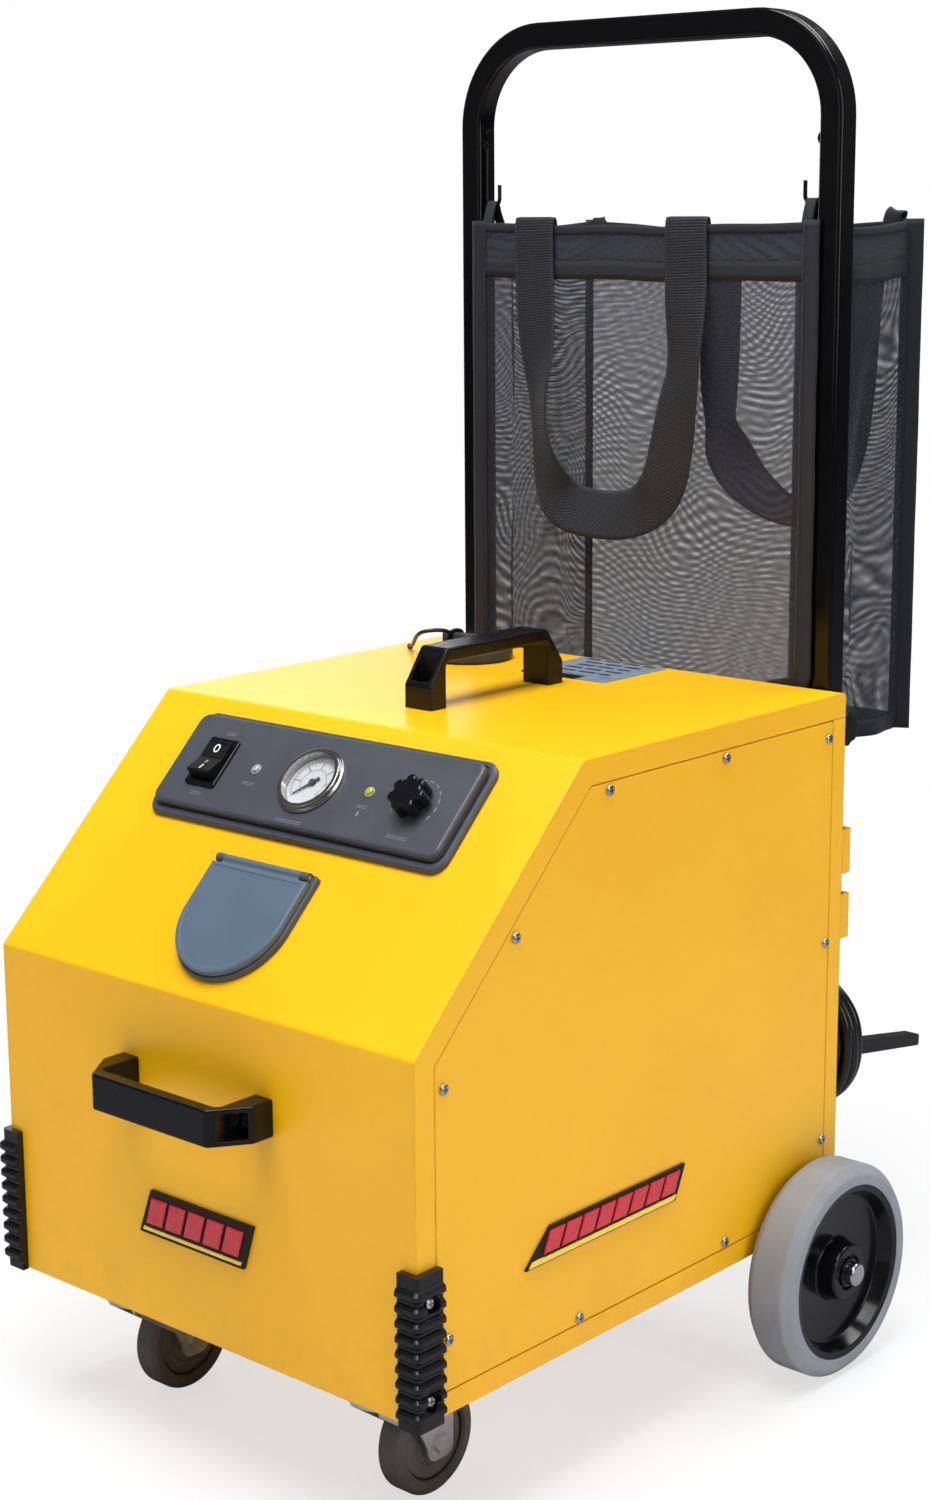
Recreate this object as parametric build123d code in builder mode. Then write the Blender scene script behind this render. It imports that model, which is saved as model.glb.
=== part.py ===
from build123d import *
import math
import os

os.makedirs("parts", exist_ok=True)

# Steam cleaner on two large rear wheels and two swivel casters, with a sheet
# metal cabinet, a sloping control panel, a push handle and a hanging tote.
# Origin: on the floor, under the centre of the whole machine.
# +X is the machine's left-to-right as seen from the front, +Y points to the
# rear (push handle side), +Z is up. Parts named "right" lie on the +X side.
# Most places are given as a depth behind the cabinet's front face and a
# height above its underside. Lengths are in millimetres.

# ---------------------------------------------------------------- dimensions
BODY_W = 394.0          # cabinet width
BODY_D = 464.0          # cabinet depth
BODY_H = 400.0          # cabinet height
FRONT_H = 240.3         # height of the upright front face
SLOPE_RUN = 162.5       # horizontal run of the sloping face
FLOOR_GAP = 102.0       # underside of the cabinet above the floor
Y_ORIGIN = 280.3        # depth of the origin behind the front face
SHEET = 2.0             # sheet thickness with its coating
HALF_W = BODY_W / 2

WHEEL_R = 80.0
WHEEL_IN, WHEEL_OUT = 202.0, 241.3      # X of the wheel's two faces
AXLE_DEPTH, AXLE_R = 420.0, 8.0
CASTER_R = 38.1
CASTER_X = 121.0
SWIVEL_DEPTH, CASTER_DEPTH = 51.0, 88.6  # swivel pin and caster axle

TUBE = 19.7             # square handle tube
TUBE_X, TUBE_DEPTH = 168.45, 479.65
TUBE_TOP = 873.7        # height of the top bar's centreline
TUBE_BEND = 67.0        # centreline bend radius
TUBE_LOW = 205.0        # lower end of the uprights
TUBE_INNER_X = TUBE_X - TUBE / 2

BRIDGE_L, BRIDGE_W, BRIDGE_H = 146.0, 25.6, 42.3
BRIDGE_SCREW = 64.8     # screw from the middle of a bridge handle
FRONT_HANDLE_H, TOP_HANDLE_DEPTH = 175.1, 292.6

SCREW_HOLE_R = 2.2      # side panel and guard screws
BOLT_HOLE_R = 3.3       # chassis bolts
BRIDGE_HOLE_R = 3.25

SLOPE_A = math.atan2(BODY_H - FRONT_H, SLOPE_RUN)
SLOPE_SIN, SLOPE_COS = math.sin(SLOPE_A), math.cos(SLOPE_A)


# -------------------------------------------------------------- frame helpers
def y(depth):
    """Y of a point at a depth behind the cabinet's front face."""
    return depth - Y_ORIGIN


def z(height):
    """Z of a point at a height above the underside of the cabinet."""
    return height + FLOOR_GAP


def point(x, depth, height):
    return (x, y(depth), z(height))


def side_points(*pairs):
    """(depth, height) pairs as points of a YZ sketch."""
    return [(y(depth), z(height)) for depth, height in pairs]


def plan_points(*pairs):
    """(x, depth) pairs as points of an XY sketch."""
    return [(x, y(depth)) for x, depth in pairs]


def level(height):
    """Horizontal plane facing up."""
    return Plane.XY.offset(z(height))


def front_plane(depth):
    """Upright plane facing the front; a negative extrusion goes rearwards."""
    return Plane.XZ.offset(-y(depth))


# Slope plane: local x across, local y up the slope, local z out of the slope.
SLOPE = Plane(origin=point(0, 0, FRONT_H), x_dir=(1, 0, 0), z_dir=(0, -SLOPE_SIN, SLOPE_COS))


def on_slope(x, up, out):
    """Point at x across, up the slope and out of it."""
    return (
        x,
        y(0) + up * SLOPE_COS - out * SLOPE_SIN,
        z(FRONT_H) + up * SLOPE_SIN + out * SLOPE_COS,
    )


def across_slope(x, up, out):
    """Plane facing +X, its local x up the slope and local y out of it."""
    return Plane(origin=on_slope(x, up, out), x_dir=(0, SLOPE_COS, SLOPE_SIN), z_dir=(1, 0, 0))


OUT_AXIS = Axis(on_slope(0, 0, 0), SLOPE.z_dir)


def slope_rim(builder):
    """Edges of the face that stands furthest out of the slope."""
    return builder.faces().sort_by(OUT_AXIS)[-1].edges()


def slope_foot(inset):
    """Height of the slope's lower corner on an outline moved in by inset."""
    return FRONT_H - inset * (1 - SLOPE_SIN) / SLOPE_COS


def slope_head(inset):
    """Depth of the slope's upper corner on an outline moved in by inset."""
    return (SLOPE_COS * (BODY_H - inset - FRONT_H) + inset) / SLOPE_SIN


def cabinet_profile(inset, low, rear):
    """Side outline moved in by inset, from height low and back to depth rear."""
    return side_points(
        (inset, low),
        (inset, slope_foot(inset)),
        (slope_head(inset), BODY_H - inset),
        (rear, BODY_H - inset),
        (rear, low),
    )


def mirrored(builder):
    """The same piece on the other side of the machine."""
    with BuildPart() as twin:
        add(mirror(builder.part, about=Plane.YZ))
    return twin


def save(builder, name):
    builder.part.label = name
    export_step(builder.part, "parts/" + name + ".step")


def save_group(name, *builders):
    """Write several builders' solids to one file, without fusing them."""
    solids = [solid for builder in builders for solid in builder.part.solids()]
    export_step(Compound(label=name, children=solids), "parts/" + name + ".step")


# ------------------------------------------------------------- shared places
# On the slope: (across, up the slope).
PANEL_W, PANEL_H, PANEL_UP = 279.7, 87.7, 169.0
PANEL_FACE = 10.5       # control panel face above the slope
GAUGE_AT = (0, 169.1)
SWITCH_X, KNOB_X, CONTROL_UP = -96.5, 96.5, 168.4
SWITCH_AT, KNOB_AT = (SWITCH_X, CONTROL_UP), (KNOB_X, CONTROL_UP)
LAMP_X, LAMP_UP = 54.2, 169.9
LAMPS_AT = [(LAMP_X, LAMP_UP), (-LAMP_X, LAMP_UP)]
LID_UP = 61.1           # centre of the round end of the outlet flap
OUTLET_AT = (0, LID_UP)

# In plan: (x, y).
CAP_X, CAP_DEPTH = -112.0, 400.0
CAP_AT = (CAP_X, y(CAP_DEPTH))
SWIVEL_AT = (CASTER_X, y(SWIVEL_DEPTH))
CASTER_BOLTS = [
    (side * CASTER_X + dx, y(SWIVEL_DEPTH + dy))
    for side in (-1, 1) for dx in (-27, 27) for dy in (-22, 22)
]
BRACKET_BOLTS = [(side * 163.0, y(AXLE_DEPTH + dy)) for side in (-1, 1) for dy in (-20, 20)]

# In side view: pan head screws of each side panel and corner guard (depth, height).
SIDE_AT = side_points(
    (188.0, 376.3), (316.2, 376.0), (442.0, 369.4), (443.3, 216.2), (94.1, 297.9),
    (25.5, 216.7), (28.4, 50.8), (158.4, 20.2), (322.9, 21.4), (444.5, 63.7),
)
GUARD_AT = side_points((7.4, 83.3), (7.4, 17.9))

# Along a bridge handle, from its middle.
BRIDGE_HOLES = [(BRIDGE_SCREW, 0), (-BRIDGE_SCREW, 0)]

# ------------------------------------------------------------------- cabinet
FLANGE = 17.7           # visible hood flange around each side panel
FLANGE_FOOT = 15.8      # height where the side flanges start
LIP = 15.2              # folded lip of the tray and of the rear panel
REAR_H = 382.0          # rear panel height
HOOD_LIP_H = 382.6      # lower edge of the hood's rear lip
HOLE_REACH = HALF_W + 5  # cuts through both cabinet sides

with BuildPart() as hood:
    with BuildSketch(Plane.YZ):
        with BuildLine():
            Polyline(
                *side_points(
                    (0, 0),
                    (0, FRONT_H),
                    (SLOPE_RUN, BODY_H),
                    (BODY_D, BODY_H),
                    (BODY_D, HOOD_LIP_H),
                    (BODY_D - SHEET, HOOD_LIP_H),
                    (BODY_D - SHEET, BODY_H - SHEET),
                    (slope_head(SHEET), BODY_H - SHEET),
                    (SHEET, slope_foot(SHEET)),
                    (SHEET, 0),
                ),
                close=True,
            )
        make_face()
    extrude(amount=HALF_W, both=True)
    # flanges round each side opening, flush with the side panels
    with BuildSketch(Plane.YZ.offset(HALF_W)):
        with BuildLine():
            Polyline(*cabinet_profile(0, FLANGE_FOOT, BODY_D), close=True)
        make_face()
        with BuildLine():
            Polyline(*cabinet_profile(FLANGE, 0, BODY_D + 5), close=True)
        make_face(mode=Mode.SUBTRACT)
    extrude(amount=-SHEET)
    # joggled landing flange behind each side panel
    with BuildSketch(Plane.YZ.offset(HALF_W - SHEET)):
        with BuildLine():
            Polyline(*cabinet_profile(14.5, FLANGE_FOOT, 428.5), close=True)
        make_face()
        with BuildLine():
            Polyline(*cabinet_profile(34.0, 0, 440.0), close=True)
        make_face(mode=Mode.SUBTRACT)
    extrude(amount=-SHEET)
    mirror(about=Plane.YZ)
    # folded edges are rounded on the outside
    with BuildSketch(Plane.YZ) as rounded:
        with BuildLine():
            Polyline(*cabinet_profile(0, 0, BODY_D), close=True)
        make_face()
        fillet(rounded.vertices().filter_by(lambda v: v.Y > z(5)), radius=3.2)
    extrude(amount=HALF_W, both=True, mode=Mode.INTERSECT)
    # openings in the slope for the controls and the steam outlet
    with BuildSketch(SLOPE):
        with Locations(SWITCH_AT):
            Rectangle(26.8, 36.8)
        with Locations(GAUGE_AT):
            Circle(24.2)
        with Locations(*LAMPS_AT):
            Circle(5.0)
        with Locations(KNOB_AT):
            Circle(7.5)
        with Locations(OUTLET_AT):
            Circle(28.2)
    extrude(amount=5, both=True, mode=Mode.SUBTRACT)
    # filler opening and carrying handle screws in the top
    with BuildSketch(level(BODY_H)):
        with Locations(CAP_AT):
            Circle(27.2)
        with Locations(
            (0, y(TOP_HANDLE_DEPTH - BRIDGE_SCREW)), (0, y(TOP_HANDLE_DEPTH + BRIDGE_SCREW))
        ):
            Circle(BRIDGE_HOLE_R)
    extrude(amount=-8, mode=Mode.SUBTRACT)
    # front handle screws
    with BuildSketch(front_plane(-3)):
        with Locations((-BRIDGE_SCREW, z(FRONT_HANDLE_H)), (BRIDGE_SCREW, z(FRONT_HANDLE_H))):
            Circle(BRIDGE_HOLE_R)
    extrude(amount=-8, mode=Mode.SUBTRACT)
    # side panel and corner guard screws
    with BuildSketch(Plane.YZ), Locations(*SIDE_AT, *GUARD_AT):
        Circle(SCREW_HOLE_R)
    extrude(amount=HOLE_REACH, both=True, mode=Mode.SUBTRACT)
save(hood, "hood")

TRAY_D, TRAY_MID = 459.4, 232.0     # tray length and the depth of its middle

with BuildPart() as base_tray:
    with BuildSketch(level(0)), Locations((0, y(TRAY_MID))):
        Rectangle(BODY_W, TRAY_D)
    extrude(amount=LIP)
    with BuildSketch(level(SHEET)), Locations((0, y(TRAY_MID))):
        Rectangle(BODY_W - 2 * SHEET, TRAY_D - 2 * SHEET)
    extrude(amount=30, mode=Mode.SUBTRACT)
    # side landing strips
    with BuildSketch(Plane.YZ.offset(HALF_W - SHEET)), Locations((y(232.5), z(20))):
        Rectangle(393.0, 20)
    extrude(amount=-SHEET)
    mirror(about=Plane.YZ)
    # bolt holes, the drain hole and three slots
    with BuildSketch(level(0)):
        with Locations(*CASTER_BOLTS, *BRACKET_BOLTS):
            Circle(BOLT_HOLE_R)
        with Locations((0, y(150))):
            Circle(11)
        with Locations(*plan_points((110, 230), (110, 245), (110, 260))):
            SlotOverall(60, 6)
    extrude(amount=5, both=True, mode=Mode.SUBTRACT)
    with BuildSketch(Plane.YZ), Locations(*SIDE_AT, GUARD_AT[1]):
        Circle(SCREW_HOLE_R)
    extrude(amount=HOLE_REACH, both=True, mode=Mode.SUBTRACT)
save(base_tray, "base_tray")

BUSHING_AT = (60, z(52))    # power cord hole in the rear panel, (x, z)

with BuildPart() as rear_panel:
    with BuildSketch(front_plane(BODY_D - SHEET)), Locations((0, z(REAR_H / 2))):
        Rectangle(BODY_W, REAR_H)
    extrude(amount=-SHEET)
    # side lips, then the landing strips inside them
    with BuildSketch(Plane.YZ.offset(HALF_W)):
        with Locations((y(BODY_D - LIP / 2), z((REAR_H + FLANGE_FOOT) / 2))):
            Rectangle(LIP, REAR_H - FLANGE_FOOT)
    extrude(amount=-SHEET)
    with BuildSketch(Plane.YZ.offset(HALF_W - SHEET)), Locations((y(441.0), z(206.0))):
        Rectangle(22.0, 350.0)
    extrude(amount=-SHEET)
    mirror(about=Plane.YZ)
    # cooling slots and the power cord bushing hole
    with BuildSketch(front_plane(BODY_D)):
        with Locations((0, z(290))), GridLocations(86, 11, 2, 8):
            SlotOverall(70, 4.5)
        with Locations(BUSHING_AT):
            Circle(9.0)
    extrude(amount=6, both=True, mode=Mode.SUBTRACT)
    with BuildSketch(Plane.YZ), Locations(*SIDE_AT):
        Circle(SCREW_HOLE_R)
    extrude(amount=HOLE_REACH, both=True, mode=Mode.SUBTRACT)
save(rear_panel, "rear_panel")

with BuildPart() as side_panel_right:
    with BuildSketch(Plane.YZ.offset(HALF_W - SHEET)) as panel_face:
        with BuildLine():
            Polyline(*cabinet_profile(18.5, 16.0, 448.0), close=True)
        make_face()
        fillet(panel_face.vertices(), radius=1.5)
    extrude(amount=SHEET)
    chamfer(side_panel_right.faces().sort_by(Axis.X)[-1].edges(), length=0.45)
    with BuildSketch(Plane.YZ.offset(HALF_W)), Locations(*SIDE_AT):
        Circle(SCREW_HOLE_R)
    extrude(amount=-5, mode=Mode.SUBTRACT)
save(side_panel_right, "side_panel_right")
save(mirrored(side_panel_right), "side_panel_left")

GUARD_STEP = 2.5        # guard screws sit this far outside the cabinet side

# pan head cross-recess screw, head on x = 0, shank towards -x
with BuildPart() as pan_screw:
    with BuildSketch(Plane.YZ):
        Circle(3.9)
    extrude(amount=2.6)
    fillet(pan_screw.faces().sort_by(Axis.X)[-1].edges(), radius=1.7)
    with BuildSketch(Plane.YZ):
        Circle(2.0)
    extrude(amount=-8.5)
    with BuildSketch(Plane.YZ.offset(1.0)):
        Rectangle(4.2, 0.9)
        Rectangle(0.9, 4.2)
    extrude(amount=3, mode=Mode.SUBTRACT)

with BuildPart() as pan_head_screws:
    for screw_x, spots in ((HALF_W, SIDE_AT), (HALF_W + GUARD_STEP, GUARD_AT)):
        with Locations(*[(screw_x, *spot) for spot in spots]):
            add(pan_screw.part)
    mirror(about=Plane.YZ)
save(pan_head_screws, "pan_head_screws")

# -------------------------------------------------------------- corner guards
GUARD_BACK = 18.6       # depth of the ribs' rear ends
RIB_H, RIB_PITCH, RIB_COUNT = 7.2, 10.15, 9
FIRST_RIB_H = 5.8       # height of the lowest rib's underside


def on_rib_rim(edge):
    """True for edges of the rib's top and bottom faces."""
    return edge.center().Z == 0 or abs(edge.center().Z - RIB_H) < 1e-6


with BuildPart() as guard_rib:
    with BuildSketch(Plane.XY) as rib_face:
        with BuildLine():
            Polyline(
                *plan_points(
                    (185.2, -8), (204.9, -8), (204.9, GUARD_BACK), (200, GUARD_BACK),
                    (200, -4), (185.2, -4),
                ),
                close=True,
            )
        make_face()
        fillet(rib_face.vertices().sort_by(Axis.X)[-2:].sort_by(Axis.Y)[0], radius=5)
    extrude(amount=RIB_H)
    chamfer(
        guard_rib.edges().filter_by(on_rib_rim).filter_by(
            lambda e: e.center().X > 203.0 or e.center().Y < y(-6.5)
        ),
        length=2.1,
    )

with BuildPart() as corner_guard_right:
    with BuildSketch(level(-1)) as guard_face:
        with BuildLine():
            Polyline(
                *plan_points(
                    (184.7, -5), (201.9, -5), (201.9, 19), (HALF_W, 19),
                    (HALF_W, 0), (184.7, 0),
                ),
                close=True,
            )
        make_face()
        fillet(guard_face.vertices().sort_by(Axis.X)[-2:].sort_by(Axis.Y)[0], radius=3)
    extrude(amount=104.4)
    with Locations(*[(0, 0, z(FIRST_RIB_H + RIB_PITCH * i)) for i in range(RIB_COUNT)]):
        add(guard_rib.part)
    # screw head pockets and screw holes
    for pocket_x, pocket_r in ((HALF_W + GUARD_STEP, 6.6), (HALF_W, SCREW_HOLE_R)):
        with BuildSketch(Plane.YZ.offset(pocket_x)), Locations(*GUARD_AT):
            Circle(pocket_r)
        extrude(amount=10, mode=Mode.SUBTRACT)
save_group("corner_guards", corner_guard_right, mirrored(corner_guard_right))

# ------------------------------------------------------------ bridge handles
SEAT_H = 9              # pocket floor under each screw head


def bridge_handle(base):
    """Moulded bridge handle standing on the plane base, its length along the plane's x."""
    side = Plane(origin=base.origin, x_dir=base.x_dir, z_dir=-base.y_dir)
    half = BRIDGE_L / 2
    with BuildPart() as handle:
        with BuildSketch(side) as outline:
            with BuildLine():
                Polyline(
                    (-half, 0), (-half, 17), (-55, BRIDGE_H), (55, BRIDGE_H), (half, 17),
                    (half, 0), (56, 0), (56, 32.5), (-56, 32.5), (-56, 0),
                    close=True,
                )
            make_face()
            fillet([v for v in outline.vertices() if v.Y > 5], radius=4.0)
        extrude(amount=BRIDGE_W / 2, both=True)
        rims = [
            e
            for e in handle.edges()
            if abs(abs((e.center() - base.origin).dot(base.y_dir)) - BRIDGE_W / 2) < 1e-4
            and (e.center() - base.origin).dot(base.z_dir) > 1
        ]
        fillet(rims, radius=1.8)
        # deep pocket over each screw, open on the slanting end face
        with BuildSketch(base.offset(SEAT_H)), Locations(*BRIDGE_HOLES):
            RectangleRounded(12.4, 18.6, 1.5)
        extrude(amount=40, mode=Mode.SUBTRACT)
        with BuildSketch(base), Locations(*BRIDGE_HOLES):
            Circle(BRIDGE_HOLE_R)
        extrude(amount=20, mode=Mode.SUBTRACT)
    return handle


FRONT_BASE = Plane(origin=point(0, 0, FRONT_HANDLE_H), x_dir=(1, 0, 0), z_dir=(0, -1, 0))
TOP_BASE = Plane(origin=point(0, TOP_HANDLE_DEPTH, BODY_H), x_dir=(0, 1, 0), z_dir=(0, 0, 1))
save(bridge_handle(FRONT_BASE), "front_handle")
save(bridge_handle(TOP_BASE), "top_handle")

# socket head screws: head, shank and hexagon socket
with BuildPart() as handle_screws:
    for base in (FRONT_BASE, TOP_BASE):
        with BuildSketch(base.offset(SEAT_H)), Locations(*BRIDGE_HOLES):
            Circle(5.0)
        extrude(amount=6)
        with BuildSketch(base.offset(SEAT_H)), Locations(*BRIDGE_HOLES):
            Circle(3.0)
        extrude(amount=-20)
        with BuildSketch(base.offset(SEAT_H + 2)), Locations(*BRIDGE_HOLES):
            RegularPolygon(2.9, 6)
        extrude(amount=6, mode=Mode.SUBTRACT)

# --------------------------------------------------------------- control panel
PANEL_BASE = 4.5                    # thickness of the wide lower plate
FACE_W, FACE_H = 270.0, 75.8        # raised face
FACE_AT = (0, PANEL_UP + 0.8)
GROOVE = 1.5                        # width of the groove round the face

with BuildPart() as control_panel:
    with BuildSketch(SLOPE), Locations((0, PANEL_UP)):
        RectangleRounded(PANEL_W, PANEL_H, 11.8)
    extrude(amount=PANEL_BASE)
    chamfer(slope_rim(control_panel), length=1.4)
    with BuildSketch(SLOPE.offset(PANEL_BASE)), Locations(FACE_AT):
        RectangleRounded(FACE_W, FACE_H, 8.0)
    extrude(amount=PANEL_FACE - PANEL_BASE)
    fillet(slope_rim(control_panel), radius=2.2)
    with BuildSketch(SLOPE.offset(3.0)), Locations(FACE_AT):
        RectangleRounded(FACE_W + 2 * GROOVE, FACE_H + 2 * GROOVE, 8.0 + GROOVE)
        RectangleRounded(FACE_W, FACE_H, 8.0, mode=Mode.SUBTRACT)
    extrude(amount=3.0, mode=Mode.SUBTRACT)
    # openings for switch, gauge, lamps and valve
    with BuildSketch(SLOPE):
        with Locations(SWITCH_AT):
            Rectangle(26.4, 36.4)
        with Locations(GAUGE_AT):
            Circle(23.6)
        with Locations(*LAMPS_AT):
            Circle(3.1)
        with Locations(KNOB_AT):
            Circle(5.1)
    extrude(amount=30, both=True, mode=Mode.SUBTRACT)
save(control_panel, "control_panel")

SWITCH_DEEP = 34        # switch body behind the panel face
PIVOT_OUT = 9.5         # rocker pivot above the slope

with BuildPart() as switch_housing:
    with BuildSketch(SLOPE.offset(PANEL_FACE)), Locations(SWITCH_AT):
        RectangleRounded(29.1, 39.9, 2.4)
    extrude(amount=2.2)
    fillet(slope_rim(switch_housing), radius=0.8)
    with BuildSketch(SLOPE.offset(PANEL_FACE)), Locations(SWITCH_AT):
        Rectangle(26.0, 36.0)
    extrude(amount=-SWITCH_DEEP)
    with BuildSketch(SLOPE.offset(PANEL_FACE - 13.0)), Locations(SWITCH_AT):
        Rectangle(22.0, 32.0)
    extrude(amount=30, mode=Mode.SUBTRACT)
    # blade terminals
    with BuildSketch(SLOPE.offset(PANEL_FACE - SWITCH_DEEP)):
        with Locations(
            *[(SWITCH_X + dx, CONTROL_UP + dy) for dy in (10, -10) for dx in (-6, 6)]
        ):
            Rectangle(0.9, 6.3)
    extrude(amount=-8)
    # pivot bore
    with BuildSketch(across_slope(SWITCH_X - 14, CONTROL_UP, PIVOT_OUT)):
        Circle(1.3)
    extrude(amount=28, mode=Mode.SUBTRACT)
save(switch_housing, "switch_housing")

ROCKER_A = SLOPE_A + math.radians(-10.0)    # button tipped 10 degrees on its pivot
ROCKER = Plane(
    origin=on_slope(SWITCH_X, CONTROL_UP, PIVOT_OUT),
    x_dir=(0, math.cos(ROCKER_A), math.sin(ROCKER_A)),
    z_dir=(1, 0, 0),
)


def at_rocker_tip(edge):
    """True for edges at the two raised ends of the button."""
    offset = edge.center() - ROCKER.origin
    return offset.dot(ROCKER.y_dir) > 7.9 and abs(offset.dot(ROCKER.x_dir)) > 13.5


with BuildPart() as rocker_button:
    with BuildSketch(ROCKER):
        with BuildLine():
            Polyline(
                (-14.6, 8.4), (0, 5.4), (14.6, 8.4), (14.9, 7.6), (14.4, -1.0), (7, -6),
                (-7, -6), (-14.4, -1.0), (-14.9, 7.6),
                close=True,
            )
        make_face()
    extrude(amount=10.6, both=True)
    fillet([e for e in rocker_button.edges() if at_rocker_tip(e)], radius=0.35)
    # pivot pin
    with BuildSketch(ROCKER):
        Circle(1.25)
    extrude(amount=12.6, both=True)
save(rocker_button, "rocker_button")

# ------------------------------------------------------------- pressure gauge
DIAL_OUT = 8.0          # back of the dial above the slope
CASE_BACK = -16.0       # back of the case

with BuildPart() as gauge_case:
    # bezel flange, bezel and barrel: radius, start and end above the slope
    for ring_r, start, end in (
        (26.1, PANEL_FACE, PANEL_FACE + 2.0),
        (24.4, PANEL_FACE, PANEL_FACE + 5.1),
        (23.2, CASE_BACK, PANEL_FACE),
    ):
        with BuildSketch(SLOPE.offset(start)), Locations(GAUGE_AT):
            Circle(ring_r)
        extrude(amount=end - start)
    fillet(
        [
            e
            for e in gauge_case.edges()
            if (e.center() - SLOPE.origin).dot(SLOPE.z_dir) > PANEL_FACE + 1.9 and e.length > 150
        ],
        radius=0.8,
    )
    with BuildSketch(SLOPE.offset(DIAL_OUT)), Locations(GAUGE_AT):
        Circle(21.2)
    extrude(amount=20, mode=Mode.SUBTRACT)
    with BuildSketch(SLOPE.offset(CASE_BACK + 2.0)), Locations(GAUGE_AT):
        Circle(20.0)
    extrude(amount=20.5, mode=Mode.SUBTRACT)
    # hexagon and stem at the back
    with BuildSketch(SLOPE.offset(CASE_BACK)), Locations(GAUGE_AT):
        RegularPolygon(7.0, 6)
    extrude(amount=-8)
    with BuildSketch(SLOPE.offset(CASE_BACK - 8)), Locations(GAUGE_AT):
        Circle(4.9)
    extrude(amount=-9)
save(gauge_case, "gauge_case")

with BuildPart() as gauge_dial:
    with BuildSketch(SLOPE.offset(DIAL_OUT)), Locations(GAUGE_AT):
        Circle(21.0)
        Circle(0.85, mode=Mode.SUBTRACT)
    extrude(amount=0.7)
save(gauge_dial, "gauge_dial")

NEEDLE_A = math.radians(225)
# needle outline: along the needle from its pivot, and to the side
NEEDLE = ((16.0, 0.15), (16.0, -0.15), (0, -0.9), (-6.0, -1.3), (-6.0, 1.3), (0, 0.9))

with BuildPart() as gauge_needle:
    with BuildSketch(SLOPE.offset(9.4)):
        with BuildLine():
            Polyline(
                *[
                    (
                        math.cos(NEEDLE_A) * along - math.sin(NEEDLE_A) * aside,
                        GAUGE_AT[1] + math.sin(NEEDLE_A) * along + math.cos(NEEDLE_A) * aside,
                    )
                    for along, aside in NEEDLE
                ],
                close=True,
            )
        make_face()
    extrude(amount=0.7)
    # hub and spindle
    for start, hub_r in ((9.2, 2.6), (8.1, 0.8)):
        with BuildSketch(SLOPE.offset(start)), Locations(GAUGE_AT):
            Circle(hub_r)
        extrude(amount=1.5)
save(gauge_needle, "gauge_needle")

with BuildPart() as gauge_glass:
    with BuildSketch(SLOPE.offset(13.1)), Locations(GAUGE_AT):
        Circle(21.1)
    extrude(amount=1.2)
save(gauge_glass, "gauge_glass")


# ------------------------------------------------------------ indicator lamps
def lamp(x):
    """Small domed indicator lens in its panel hole."""
    with BuildPart() as lens:
        with BuildSketch(SLOPE.offset(PANEL_FACE)), Locations((x, LAMP_UP)):
            Circle(3.9)
        extrude(amount=0.8)
        with BuildSketch(SLOPE.offset(-4)), Locations((x, LAMP_UP)):
            Circle(3.0)
        extrude(amount=PANEL_FACE + 6.4)
        fillet(slope_rim(lens), radius=1.5)
    return lens


save_group("indicator_lamps", lamp(-LAMP_X), lamp(LAMP_X))

# -------------------------------------------------------- steam output control
STEM_R = 3.0
THREAD_R = 4.8          # threaded neck of the valve
VALVE_SHOULDER = -4.0   # hexagon's outer face, relative to the slope
PORT_OUT = -28          # cross port of the valve

with BuildPart() as output_knob:
    with BuildSketch(SLOPE.offset(13.2)), Locations(KNOB_AT):
        Circle(11.3)
        with PolarLocations(10.3, 7):
            Circle(4.0)
    extrude(amount=11.6)
    fillet(slope_rim(output_knob), radius=1.6)
    with BuildSketch(SLOPE.offset(12.6)), Locations(KNOB_AT):
        Circle(9.0)
    extrude(amount=0.8)
    with BuildSketch(SLOPE.offset(12.0)), Locations(KNOB_AT):
        Circle(STEM_R)
    extrude(amount=9.0, mode=Mode.SUBTRACT)
save(output_knob, "output_knob")

with BuildPart() as valve_stem:
    with BuildSketch(SLOPE.offset(-11.5)), Locations(KNOB_AT):
        Circle(STEM_R)
    extrude(amount=32.4)
save(valve_stem, "valve_stem")

with BuildPart() as valve_nut:
    with BuildSketch(SLOPE.offset(PANEL_FACE)), Locations(KNOB_AT):
        Circle(9.5)
        Circle(THREAD_R, mode=Mode.SUBTRACT)
    extrude(amount=1.7)
    chamfer(slope_rim(valve_nut).sort_by(SortBy.LENGTH)[-1], length=0.6)
save(valve_nut, "valve_nut")

with BuildPart() as valve_body:
    with BuildSketch(SLOPE.offset(VALVE_SHOULDER)), Locations(KNOB_AT):
        Circle(THREAD_R)
    extrude(amount=PANEL_FACE - VALVE_SHOULDER + 1.6)
    with BuildSketch(SLOPE.offset(VALVE_SHOULDER)), Locations(KNOB_AT):
        RegularPolygon(11.0, 6)
    extrude(amount=-8)
    with BuildSketch(SLOPE.offset(VALVE_SHOULDER - 8)), Locations(KNOB_AT):
        Circle(10.0)
    extrude(amount=-28)
    # cross port
    port_origin = on_slope(KNOB_X - 22, CONTROL_UP, PORT_OUT)
    with BuildSketch(Plane(origin=port_origin, x_dir=(0, 1, 0), z_dir=(1, 0, 0))):
        Circle(5.5)
    extrude(amount=44)
    with BuildSketch(SLOPE.offset(-12.0)), Locations(KNOB_AT):
        Circle(STEM_R + 0.06)
    extrude(amount=40, mode=Mode.SUBTRACT)
save(valve_body, "valve_body")

# --------------------------------------------------------------- steam outlet
HINGE_UP, HINGE_OUT = 100.5, 6.9    # hinge line up the slope and out of it
HINGE_HALF = 43.4                   # half length of the hinge pin
LUG_W = 6.5
KNUCKLE_HALF = 36.5
RECESS_FLOOR = -21.5                # bottom of the recess, relative to the slope
LID_BACK = 5.0                      # underside of the lid above the slope
HINGE_BORE = across_slope(-50, HINGE_UP, HINGE_OUT)


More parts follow.
